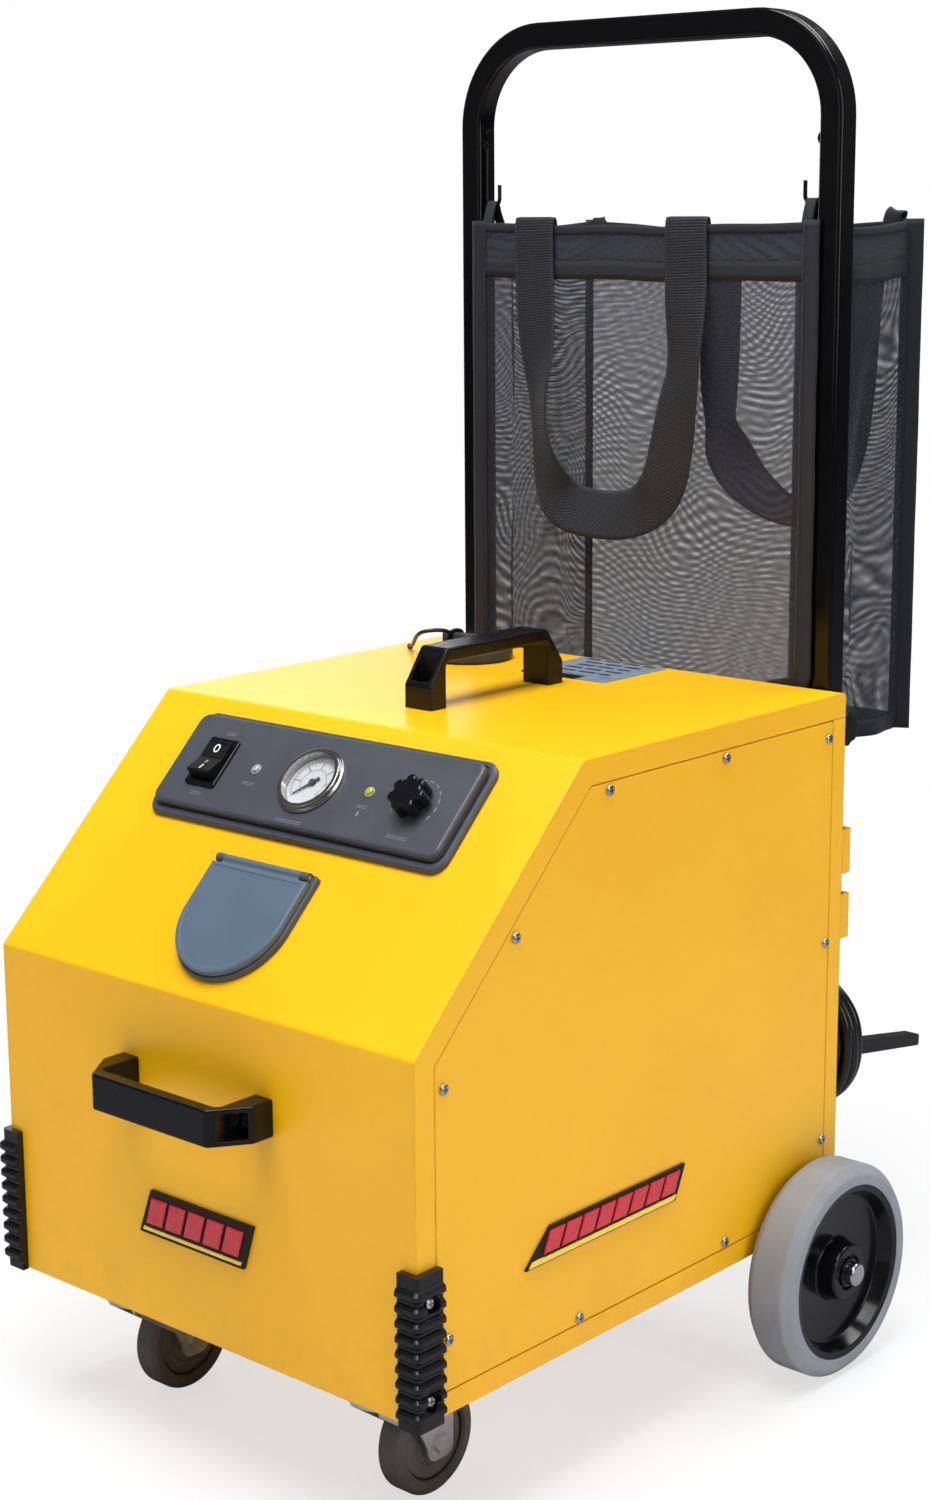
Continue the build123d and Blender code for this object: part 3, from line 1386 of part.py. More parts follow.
with BuildPart() as safety_valve:
    with BuildSketch(level(BOILER_TOP - 6)), Locations((SAFETY_X, BOILER_Y)):
        Circle(5)
    extrude(amount=12)
    with BuildSketch(level(BOILER_TOP + 0.5)), Locations((SAFETY_X, BOILER_Y)):
        RegularPolygon(11, 6)
    extrude(amount=10)
    with BuildSketch(level(BOILER_TOP + 10.5)), Locations((SAFETY_X, BOILER_Y)):
        Circle(8)
    extrude(amount=24)

with BuildPart() as solenoid_valve:
    with BuildSketch(level(BOILER_TOP - 6)), Locations((STEAM_X, BOILER_Y)):
        Circle(5)
    extrude(amount=16)
    with BuildSketch(level(BOILER_TOP + 2)), Locations((STEAM_X, BOILER_Y)):
        Rectangle(36, 24)
    extrude(amount=20)
    with BuildSketch(level(BOILER_TOP + 22)), Locations((STEAM_X, BOILER_Y)):
        RectangleRounded(30, 34, 4)
    extrude(amount=34)
save_group("boiler_valves", safety_valve, solenoid_valve)

# ------------------------------------------------------- tank, pump and board
TANK_AT = (-112, y(362))
TANK_X, TANK_Y, TANK_WALL = 148, 170, 3
TANK_FLOOR = 26         # underside of the tank
PUMP_LINE = (y(330), z(45))     # axis of the pump and of the tank outlet

with BuildPart() as water_tank:
    with BuildSketch(level(TANK_FLOOR)), Locations(TANK_AT):
        RectangleRounded(TANK_X, TANK_Y, 12)
    extrude(amount=338)
    fillet(water_tank.faces().sort_by(Axis.Z)[-1].edges(), radius=8)
    with BuildSketch(level(360)), Locations(CAP_AT):
        Circle(26.0)
    extrude(amount=13.8)
    with BuildSketch(level(TANK_FLOOR + TANK_WALL)), Locations(TANK_AT):
        RectangleRounded(TANK_X - 2 * TANK_WALL, TANK_Y - 2 * TANK_WALL, 12 - TANK_WALL)
    extrude(amount=338 - 2 * TANK_WALL, mode=Mode.SUBTRACT)
    with BuildSketch(level(355)), Locations(CAP_AT):
        Circle(22.0)
    extrude(amount=30, mode=Mode.SUBTRACT)
    # feet on the tray
    with BuildSketch(level(SHEET)), Locations(TANK_AT), GridLocations(90, 110, 2, 2):
        Circle(9)
    extrude(amount=TANK_FLOOR - SHEET)
    # outlet spigot
    with BuildSketch(Plane.YZ.offset(-38)), Locations(PUMP_LINE):
        Circle(6)
    extrude(amount=18)
save(water_tank, "water_tank")

with BuildPart() as feed_pump:
    # body and through pipe: start in X, radius and length
    for start, body_r, length in ((10, 22, 62), (-6, 6, 96)):
        with BuildSketch(Plane.YZ.offset(start)), Locations(PUMP_LINE):
            Circle(body_r)
        extrude(amount=length)
    with BuildSketch(level(SHEET)), Locations((41, y(330))):
        Rectangle(50, 40)
    extrude(amount=30)
save(feed_pump, "feed_pump")

BOARD_DEPTH, BOARD_T = 448, 1.8
BOARD_AT = (90, z(120))

with BuildPart() as control_board:
    with BuildSketch(front_plane(BOARD_DEPTH)), Locations(BOARD_AT):
        Rectangle(130, 90)
    extrude(amount=-BOARD_T)
    # components on the front
    with BuildSketch(front_plane(BOARD_DEPTH)):
        with Locations((60, z(130)), (95, z(130))):
            Rectangle(24, 18)
        with Locations((130, z(105))):
            Circle(9)
        with Locations((75, z(95))):
            Rectangle(40, 10)
    extrude(amount=16)
    # standoffs to the rear panel
    with BuildSketch(front_plane(BOARD_DEPTH + BOARD_T)):
        with Locations(BOARD_AT), GridLocations(116, 76, 2, 2):
            Circle(3)
    extrude(amount=-12.2)
save(control_board, "control_board")


# ------------------------------------------------------------ pipes and drain
def pipe(points, radius, start, end):
    """Round solid along a smooth path with the given end tangents."""
    with BuildPart() as tube:
        with BuildLine() as path:
            Spline(*points, tangents=[start, end])
        with BuildSketch(Plane(origin=path.line @ 0, z_dir=path.line % 0)):
            Circle(radius)
        sweep()
    return tube


OUTWARD = (0, -SLOPE_SIN, SLOPE_COS)    # direction out of the slope

steam_pipe = pipe(
    [
        point(21.8, BOILER_DEPTH, BOILER_TOP + 12),
        point(8, 138, 208),
        on_slope(0, LID_UP, -43.6),
    ],
    radius=4.0, start=(-1, 0, 0), end=OUTWARD,
)
gauge_line = pipe(
    [
        point(0, BOILER_DEPTH, BOILER_TOP - 3),
        point(-14, 170, 240),
        point(-4, 165, 300),
        on_slope(*GAUGE_AT, -33.2),
    ],
    radius=2.0, start=(0, 0, 1), end=OUTWARD,
)
valve_line = pipe(
    [
        point(58.2, BOILER_DEPTH, BOILER_TOP + 12),
        point(70, 180, 232),
        point(62, 178, 290),
        on_slope(KNOB_X - 22.2, CONTROL_UP, PORT_OUT),
    ],
    radius=3.0, start=(1, 0, 0), end=(1, 0, 0),
)
save_group("steam_pipes", steam_pipe, gauge_line, valve_line)

water_hose = pipe(
    [
        (90.2, *PUMP_LINE),
        point(145, 290, 80),
        point(152, 200, 190),
        point(120, 146, 214),
        point(FEED_X, BOILER_DEPTH, BOILER_TOP - 3),
    ],
    radius=4.5, start=(1, 0, 0), end=(0, 0, -1),
)
save(water_hose, "water_hose")

LEVER_AT = (0, z(-17))      # lever pivot, (x, z)

with BuildPart() as drain_valve:
    with BuildSketch(level(BOILER_H - BOILER_R + 5)), Locations((0, BOILER_Y)):
        Circle(6)
    extrude(amount=-64)
    with BuildSketch(level(-6)), Locations((0, BOILER_Y)):
        RegularPolygon(13, 6)
    extrude(amount=-22)
    with BuildSketch(level(-28)), Locations((0, BOILER_Y)):
        Circle(8)
    extrude(amount=-12)
    # boss for the lever, on the rear side
    with BuildSketch(front_plane(BOILER_DEPTH + 9)), Locations(LEVER_AT):
        Circle(5)
    extrude(amount=-9)
    # bore up from the outlet
    with BuildSketch(level(-45)), Locations((0, BOILER_Y)):
        Circle(4)
    extrude(amount=30, mode=Mode.SUBTRACT)
save(drain_valve, "drain_valve")

with BuildPart() as drain_lever:
    with BuildSketch(front_plane(BOILER_DEPTH + 18.4)), Locations((24, z(-17))):
        SlotOverall(64, 12)
    extrude(amount=-3)
    with BuildSketch(front_plane(BOILER_DEPTH + 18.4)), Locations(LEVER_AT):
        Circle(7)
    extrude(amount=-6)
save(drain_lever, "drain_lever")
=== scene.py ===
"""Wheeled steam generator: a yellow cabinet with a sloping control panel, and a net tote behind it.

Metres, +Z up, floor at z = 0. The front faces -Y and the piece names' right is +X.
Shapes are given in millimetres as x, depth behind the front face, height over the cabinet's
underside, and at() turns them into scene points.
"""
import functools
import math
from bisect import bisect_left

import bmesh
import bpy
from mathutils import Matrix, Vector


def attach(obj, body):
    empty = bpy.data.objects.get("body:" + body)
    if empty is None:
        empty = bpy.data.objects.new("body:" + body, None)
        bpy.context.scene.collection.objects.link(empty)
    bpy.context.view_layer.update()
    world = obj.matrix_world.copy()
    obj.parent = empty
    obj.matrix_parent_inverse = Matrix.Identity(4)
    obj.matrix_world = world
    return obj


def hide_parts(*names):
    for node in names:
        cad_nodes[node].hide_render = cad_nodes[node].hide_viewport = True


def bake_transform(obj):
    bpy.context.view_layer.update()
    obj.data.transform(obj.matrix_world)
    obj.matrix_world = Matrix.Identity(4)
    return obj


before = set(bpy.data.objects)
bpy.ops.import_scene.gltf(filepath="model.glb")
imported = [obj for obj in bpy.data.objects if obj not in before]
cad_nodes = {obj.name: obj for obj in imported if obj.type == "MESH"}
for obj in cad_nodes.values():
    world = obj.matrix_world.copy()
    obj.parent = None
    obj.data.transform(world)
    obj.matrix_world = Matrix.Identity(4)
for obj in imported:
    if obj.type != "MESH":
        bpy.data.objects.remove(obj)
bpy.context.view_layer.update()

# ------------------------------------------------------------ driving sizes, mm
Y_ORIGIN = 280.3        # depth of the scene's y = 0
FLOOR_GAP = 102.0       # cabinet underside over the floor
FRONT_H = 240.3         # top of the front face, where the slope starts
SLOPE_TOP_H = 400.0
SLOPE_RUN = 162.5       # depth taken up by the slope
SLOPE = math.atan2(SLOPE_TOP_H - FRONT_H, SLOPE_RUN)
SLOPE_SIN, SLOPE_COS = math.sin(SLOPE), math.cos(SLOPE)
CASTER_D, CASTER_AXLE_Z = 88.6, 38.1    # caster axle: depth, and height over the floor
SIDE_X = 197.0          # half the cabinet's width
SIDES = (("right", 1), ("left", -1))


def at(x, depth, height):
    """Scene point from cabinet millimetres."""
    return Vector((x, depth - Y_ORIGIN, height + FLOOR_GAP)) / 1000.0


def on_slope(x, along, out):
    """Scene point on the sloping panel: along it from its lower edge, and out of it."""
    return Vector((x, -Y_ORIGIN + along * SLOPE_COS - out * SLOPE_SIN,
                   FRONT_H + FLOOR_GAP + along * SLOPE_SIN + out * SLOPE_COS)) / 1000.0


# ------------------------------------------------------------------- shader kit
MATERIALS = {}


def srgb(*rgb):
    """Linear RGBA from 0-255 screen values."""
    def linear(value):
        value = value / 255.0
        return value / 12.92 if value <= 0.04045 else ((value + 0.055) / 1.055) ** 2.4
    return (*map(linear, rgb), 1.0)


def scaled(color, gain, lift=(0.0, 0.0, 0.0)):
    return (*(min(c * gain + extra, 1) for c, extra in zip(color, lift)), 1.0)


def add_node(tree, kind, inputs=None, **settings):
    """New shader node; each input is given a value or the socket that feeds it."""
    node = tree.nodes.new("ShaderNode" + kind)
    for key, value in settings.items():
        setattr(node, key, value)
    for key, value in (inputs or {}).items():
        if isinstance(value, bpy.types.NodeSocket):
            tree.links.new(value, node.inputs[key])
        else:
            node.inputs[key].default_value = value
    return node


class Shader:
    def __init__(self, name):
        self.name = name
        self.material = bpy.data.materials.new(name)
        self.material.use_nodes = True
        self.tree = self.material.node_tree
        self.tree.nodes.clear()
        self.output = self.node("OutputMaterial")
        self.coords = self.node("TexCoord").outputs

    def node(self, kind, inputs=None, **settings):
        return add_node(self.tree, kind, inputs, **settings)

    def noise(self, scale, detail=3.0, rough=0.55, vec=None):
        if vec is None:
            vec = self.coords["Object"]
        return self.node("TexNoise", {"Vector": vec, "Scale": scale, "Detail": detail,
                                      "Roughness": rough}).outputs["Fac"]

    def remap(self, value, low, high, to=(0.0, 1.0)):
        return self.node("MapRange", {"Value": value, "From Min": low, "From Max": high,
                                      "To Min": to[0], "To Max": to[1]}).outputs["Result"]

    def patches(self, scale, low, high, to=(0.0, 1.0), **noise):
        """Noise of a given scale whose range low..high is stretched over `to`."""
        return self.remap(self.noise(scale, **noise), low, high, to)

    def math(self, operation, first, second=0.0, clamp=False):
        return self.node("Math", {0: first, 1: second}, operation=operation,
                         use_clamp=clamp).outputs[0]

    def add(self, first, second):
        return self.math("ADD", first, second)

    def sub(self, first, second):
        return self.math("SUBTRACT", first, second)

    def mul(self, first, second):
        return self.math("MULTIPLY", first, second)

    def sin(self, value):
        return self.math("SINE", value)

    def abs(self, value):
        return self.math("ABSOLUTE", value)

    def mix(self, share, first, second, blend="MIX"):
        return self.node("Mix", {0: share, 6: first, 7: second}, data_type="RGBA",
                         blend_type=blend).outputs[2]

    def xyz(self, space="Object"):
        return self.node("SeparateXYZ", {0: self.coords[space]}).outputs

    def bump(self, height, strength, depth, normal=None):
        inputs = {"Strength": strength, "Distance": depth, "Height": height}
        if normal is not None:
            inputs["Normal"] = normal
        return self.node("Bump", inputs).outputs["Normal"]

    def soft_edges(self, radius):
        return self.node("Bevel", {"Radius": radius}, samples=4).outputs["Normal"]

    def edge(self, radius):
        """0 on flat areas, 1 on edges: how far a bevelled normal leaves the true one."""
        soft = self.soft_edges(radius)
        true = self.node("NewGeometry").outputs["Normal"]
        dot = self.node("VectorMath", {0: soft, 1: true}, operation="DOT_PRODUCT")
        return self.remap(self.sub(1.0, dot.outputs["Value"]), 0.004, 0.25)

    def principled(self, color, rough, normal, metallic=0.0, **inputs):
        """Ends the material; further inputs are named with _ for each space."""
        values = {"Base Color": color, "Roughness": rough, "Metallic": metallic,
                  "Normal": normal}
        values.update({key.replace("_", " "): value for key, value in inputs.items()})
        self.finish(self.node("BsdfPrincipled", values).outputs[0])

    def finish(self, surface):
        self.tree.links.new(surface, self.output.inputs["Surface"])
        MATERIALS[self.name] = self.material


# -------------------------------------------------------------------- materials
def powder_yellow():
    """Semi-gloss powder coat: mottling, specks, painted edge highlight in patches, dust at the
    foot, orange peel.
    """
    mat = Shader("powder_coat_yellow")
    color = mat.mix(mat.patches(5.0, 0.35, 0.65, rough=0.5),
                    srgb(253, 191, 16), srgb(250, 184, 12))
    specks = mat.patches(520, 0.62, 0.8, detail=2.0)
    color = mat.mix(mat.mul(specks, 0.12), color, srgb(255, 214, 70))
    # painted highlight: the edges are painted a paler, lighter yellow, broken up in patches
    edge_highlight = mat.mul(mat.edge(radius=0.0016), mat.patches(90, 0.45, 0.65, detail=4.0))
    color = mat.mix(mat.mul(edge_highlight, 0.35), color, srgb(255, 232, 120))
    foot = mat.remap(mat.xyz()[2], FLOOR_GAP / 1000, 0.16, to=(1.0, 0.0))
    dust = mat.mul(foot, mat.patches(34, 0.45, 0.75, detail=5.0))
    color = mat.mix(mat.mul(dust, 0.25), color, srgb(196, 150, 52))
    peel = mat.add(mat.mul(mat.noise(1150, detail=2.0, rough=0.5), 0.6),
                   mat.mul(mat.noise(420, detail=2.0, rough=0.5), 0.6))
    normal = mat.bump(peel, strength=0.3, depth=0.00007, normal=mat.soft_edges(0.0016))
    mat.principled(color, mat.patches(60, 0.2, 0.8, to=(0.3, 0.33), detail=2.0), normal,
                   Specular_IOR_Level=0.45, Coat_Weight=0.04, Coat_Roughness=0.28)


def plain(name, rgb, rough, vary, blotch, grain, depth, gloss_vary, edge_highlight_amount, spec, coat):
    """Broad colour variation, blotchy gloss, a fine grain and edges painted lighter as a highlight.
    """
    mat = Shader(name)
    base = srgb(*rgb)
    color = mat.mix(mat.patches(blotch, 0.3, 0.7, detail=4.0),
                    scaled(base, 1 - vary), scaled(base, 1 + vary))
    if edge_highlight_amount:
        # painted highlight: the edges are painted lighter, broken up in patches
        edge_highlight = mat.mul(mat.edge(radius=0.0012),
                       mat.patches(140, 0.42, 0.62, to=(0.15, 1.0), detail=4.0))
        color = mat.mix(mat.mul(edge_highlight, edge_highlight_amount), color, scaled(base, 2.2, lift=(0.09,) * 3))
    spread = (rough - gloss_vary * 0.5, rough + gloss_vary * 0.5)
    gloss = mat.add(mat.patches(blotch * 3.1, 0.3, 0.7, to=spread, detail=4.0), 0.0)
    normal = mat.bump(mat.noise(grain, rough=0.6), strength=0.35, depth=depth / 1e6,
                      normal=mat.soft_edges(0.0006) if edge_highlight_amount else None)
    coating = {"Coat_Weight": coat, "Coat_Roughness": 0.12} if coat else {}
    mat.principled(color, gloss, normal, Specular_IOR_Level=spec, **coating)


def brushed(name, rgb, rough, axis, stretch, scale, stain):
    """Metal with streaks drawn out along one axis, cloudy colour and optional stains."""
    mat = Shader(name)
    squeeze = [1.0, 1.0, 1.0]
    squeeze[axis] = 1.0 / stretch
    mapping = mat.node("Mapping", {"Vector": mat.coords["Object"], "Scale": squeeze})
    streak = mat.noise(scale * 3, rough=0.6, vec=mapping.outputs["Vector"])
    color = mat.mix(mat.patches(45, 0.3, 0.7, detail=4.0), scaled(rgb, 0.84), scaled(rgb, 1.08))
    if stain:
        stained = mat.mul(mat.patches(18, 0.55, 0.75, detail=5.0), stain)
        color = mat.mix(stained, color, srgb(120, 104, 80))
    gloss = mat.remap(streak, 0.3, 0.7, to=(rough * 0.75, rough * 1.35))
    mat.principled(color, gloss, mat.bump(streak, strength=0.2, depth=0.00004), metallic=1.0)


def webbing():
    """Ribbed strap webbing: staggered yarn bumps in rows across the strap. UV is in metres."""
    mat = Shader("webbing_black")
    pitch = 0.0021
    turn = 2 * math.pi / pitch
    across, along, _ = mat.xyz("UV")
    stagger = mat.mul(mat.math("FLOOR", mat.mul(along, 1.0 / pitch)), math.pi)
    yarn = mat.sin(mat.add(mat.mul(across, turn * 0.75), stagger))
    rib = mat.mul(mat.abs(mat.sin(mat.mul(along, turn * 0.5))),
                  mat.add(mat.mul(yarn, 0.35), 0.65))
    fuzz = mat.noise(2600, detail=2.0, vec=mat.coords["UV"])
    height = mat.add(mat.mul(rib, 1.0), mat.mul(fuzz, 0.25))
    shade = mat.mul(mat.remap(rib, 0.0, 0.9, to=(0.3, 1.5)),
                    mat.patches(30, 0.3, 0.7, to=(0.86, 1.12)))
    grey = mat.node("CombineColor", {0: shade, 1: shade, 2: shade}).outputs[0]
    color = mat.mix(1.0, srgb(13, 16, 27), grey, blend="MULTIPLY")
    mat.principled(color, 0.62, mat.bump(height, strength=0.9, depth=0.0005),
                   Sheen_Weight=0.06, Sheen_Roughness=0.5)


def binding_tape():
    """Woven tape: fine twill and a slight nap."""
    mat = Shader("binding_tape")
    base = srgb(17, 20, 32)
    across, along, _ = mat.xyz("UV")
    twill = mat.sin(mat.mul(mat.add(across, mat.mul(along, 1.0)), 2 * math.pi / 0.0011))
    rows = mat.sin(mat.mul(along, 2 * math.pi / 0.0009))
    height = mat.add(mat.add(mat.mul(twill, 0.4), mat.mul(rows, 0.2)),
                     mat.mul(mat.noise(1500), 0.8))
    color = mat.mix(mat.patches(70, 0.3, 0.7, detail=5.0), scaled(base, 0.75), scaled(base, 1.3))
    # painted shade: the tape is darker in the low parts of the weave
    color = mat.mix(mat.remap(height, 0.2, 1.1), scaled(base, 0.6), color)
    mat.principled(color, 0.72, mat.bump(height, strength=0.6, depth=0.0003),
                   Sheen_Weight=0.08, Sheen_Roughness=0.45)


def net(name, base, cover, moire, bend=1.0):
    """See-through mesh on a fine grid, with the watered bands that two layers make.

    cover is the mean opacity, moire the strength of the bands, bend how much they wander.
    """
    mat = Shader(name)
    cell = 0.0014
    cloth = mat.coords["UV"]
    across, along, _ = mat.xyz("UV")
    broad = mat.noise(4.6, detail=1.5, rough=0.45, vec=cloth)
    small = mat.noise(13.0, detail=1.0, rough=0.5, vec=cloth)
    # nearly level bands pulled round by the lie of the cloth, and a fainter crossing set
    phase = mat.add(mat.mul(along, 1 / 0.0062), mat.mul(across, 22.0))
    phase = mat.add(phase, mat.add(mat.mul(broad, 34.0 * bend), mat.mul(small, 6.0 * bend)))
    main = mat.sin(mat.mul(phase, 2 * math.pi))
    phase = mat.add(mat.mul(along, 1 / 0.013),
                    mat.add(mat.mul(across, -60.0), mat.mul(broad, -22.0)))
    crossing = mat.sin(mat.mul(phase, 2 * math.pi))
    amount = mat.patches(9.0, 0.35, 0.62, to=(0.25, 1.0), detail=2.0, vec=cloth)
    bands = mat.add(mat.mul(mat.mul(main, amount), 0.85), mat.mul(crossing, 0.15))
    grid = [mat.abs(mat.sin(mat.mul(way, math.pi / cell))) for way in (across, along)]
    thread = mat.sub(1.0, mat.mul(*grid))
    alpha = mat.add(mat.add(cover, mat.mul(bands, 0.10 * moire)),
                    mat.mul(mat.sub(thread, 0.6), 0.12))
    alpha = mat.math("MINIMUM", mat.math("MAXIMUM", alpha, 0.05), 1.0)
    color = mat.mix(mat.remap(bands, -0.9, 0.9), scaled(base, 1.5), scaled(base, 0.7))
    mat.principled(color, 0.55, mat.bump(thread, strength=0.5, depth=0.0003),
                   Sheen_Weight=0.1, Sheen_Roughness=0.4, Alpha=alpha)


def rubber(name, base, rough, dusty=0.3):
    mat = Shader(name)
    color = mat.mix(mat.patches(26, 0.3, 0.7, detail=5.0), scaled(base, 0.9), scaled(base, 1.1))
    scuff = mat.mul(mat.patches(160, 0.56, 0.72, detail=5.0, rough=0.7), dusty)
    color = mat.mix(scuff, color, scaled(base, 1.0, lift=(0.06, 0.055, 0.05)))
    # painted highlight: every edge is painted a little lighter
    edge_highlight = mat.mul(mat.edge(radius=0.0015), 0.25)
    color = mat.mix(edge_highlight, color, scaled(base, 1.0, lift=(0.1, 0.1, 0.1)))
    height = mat.add(mat.mul(mat.noise(1500), 0.6), mat.mul(mat.noise(240), 0.5))
    gloss = mat.patches(60, 0.3, 0.7, to=(rough - 0.06, rough + 0.08))
    mat.principled(color, gloss, mat.bump(height, strength=0.4, depth=0.00014),
                   Specular_IOR_Level=0.4)


def gauge_window():
    """Thin clear window: mostly see-through, with a reflection and faint smudges."""
    mat = Shader("gauge_window")
    white, tint = (1, 1, 1, 1), (0.97, 0.98, 0.98, 1)
    glossy = mat.node("BsdfGlossy", {"Roughness": 0.02, "Color": white}).outputs[0]
    through = mat.node("BsdfTransparent", {"Color": tint}).outputs[0]
    smudge = mat.patches(180, 0.45, 0.75, to=(0.0, 0.04), detail=4.0)
    fresnel = mat.node("Fresnel", {"IOR": 1.45}).outputs[0]
    share = mat.math("ADD", mat.mul(fresnel, 0.3), mat.mul(smudge, 0.15), clamp=True)
    mat.finish(mat.node("MixShader", {0: share, 1: through, 2: glossy}).outputs[0])


def lens(name, base, glow):
    """Faceted translucent plastic, lit from within by glow."""
    mat = Shader(name)
    facets = mat.node("TexVoronoi", {"Vector": mat.coords["Object"], "Scale": 900},
                      feature="F1").outputs["Distance"]
    color = mat.mix(mat.remap(facets, 0.1, 0.7), scaled(base, 0.7), scaled(base, 1.15))
    mat.principled(color, 0.12, mat.bump(facets, strength=0.7, depth=0.0004),
                   Transmission_Weight=0.35, IOR=1.5, Emission_Color=base,
                   Emission_Strength=glow)


def caster_wheel():
    """Dark tyre, a groove where it meets the centre, and a lighter centre with a faint ring."""
    mat = Shader("caster_wheel")
    _, y, z = mat.xyz()
    from_y = mat.sub(y, (CASTER_D - Y_ORIGIN) / 1000.0)
    from_z = mat.sub(z, CASTER_AXLE_Z / 1000)
    radius = mat.math("SQRT", mat.add(mat.mul(from_y, from_y), mat.mul(from_z, from_z)))

    def circle(rise_from, rise_to, fall_from, fall_to):
        return mat.mul(mat.remap(radius, rise_from, rise_to),
                       mat.remap(radius, fall_from, fall_to, to=(1.0, 0.0)))

    tyre = mat.mix(mat.patches(40, 0.3, 0.7, detail=5.0), srgb(70, 65, 63), srgb(84, 78, 75))
    centre = mat.mix(mat.patches(60, 0.3, 0.7, detail=4.0), srgb(78, 71, 66), srgb(96, 88, 82))
    color = mat.mix(mat.remap(radius, 0.0268, 0.0272), centre, tyre)
    groove = circle(0.0262, 0.0266, 0.0274, 0.0278)
    color = mat.mix(groove, color, srgb(26, 23, 22))
    ring = circle(0.0166, 0.0170, 0.0176, 0.0180)
    color = mat.mix(mat.mul(ring, 0.6), color, srgb(40, 36, 34))
    height = mat.sub(mat.mul(mat.noise(1500), 0.12), mat.add(groove, mat.mul(ring, 0.5)))
    mat.principled(color, mat.remap(radius, 0.0268, 0.0272, to=(0.38, 0.55)),
                   mat.bump(height, strength=0.7, depth=0.0006))


def rating_foil():
    """Silvery printed foil: rows of broken bars of uneven length, and a dark bar at one end."""
    mat = Shader("rating_foil")
    pitch = 0.0118
    x, y, _ = mat.xyz()
    base = mat.mix(mat.patches(120, 0.3, 0.7, detail=4.0),
                   srgb(128, 146, 166), srgb(152, 168, 186))
    in_row = mat.math("FRACT", mat.mul(y, 1 / pitch))
    row = mat.math("FLOOR", mat.mul(y, 1 / pitch))
    # a different fixed value for each row
    scatter = mat.math("FRACT", mat.mul(mat.sin(mat.mul(row, 12.9898)), 43.7585))
    reach = mat.add(mat.mul(mat.abs(scatter), 0.012), 0.024)
    inside = mat.math("LESS_THAN", mat.abs(mat.add(x, 0.0015)), reach)
    bars = mat.mul(mat.math("GREATER_THAN", in_row, 0.55), inside)
    shifted = mat.add(x, mat.mul(scatter, 0.02))
    breaks = mat.math("GREATER_THAN", mat.sin(mat.mul(shifted, 2 * math.pi / 0.019)), -0.86)
    bars = mat.mul(mat.mul(bars, breaks), mat.math("GREATER_THAN", y, 0.1165))
    color = mat.mix(mat.mul(bars, 0.85), base, srgb(36, 44, 60))
    end_bar = mat.mul(mat.math("LESS_THAN", y, 0.1135), mat.math("LESS_THAN", x, 0.012))
    color = mat.mix(end_bar, color, srgb(16, 18, 22))
    mat.principled(color, 0.34, mat.bump(mat.noise(700, detail=2.0), strength=0.2,
                                         depth=0.00005), metallic=0.25)


def floor_pale():
    """Pale diffuse floor that fades to white for the camera and is dark in reflections."""
    mat = Shader("floor_pale")
    x, y, _ = mat.xyz()
    radius = mat.math("SQRT", mat.add(mat.mul(x, x), mat.mul(y, y)))
    color = mat.mix(mat.patches(3.0, 0.3, 0.7), (0.80, 0.81, 0.84, 1), (0.84, 0.85, 0.88, 1))
    mirrored = mat.node("LightPath").outputs["Is Glossy Ray"]
    color = mat.mix(mat.mul(mirrored, 0.7), color, (0.10, 0.10, 0.11, 1))
    diffuse = mat.node("BsdfDiffuse", {"Color": color}).outputs[0]
    white = mat.node("Emission", {"Color": (1, 1, 1, 1), "Strength": 1.0}).outputs[0]
    seen = mat.node("LightPath").outputs["Is Camera Ray"]
    share = mat.mul(mat.remap(radius, 0.35, 1.15, to=(0.66, 1.0)), seen)
    mat.finish(mat.node("MixShader", {0: share, 1: diffuse, 2: white}).outputs[0])
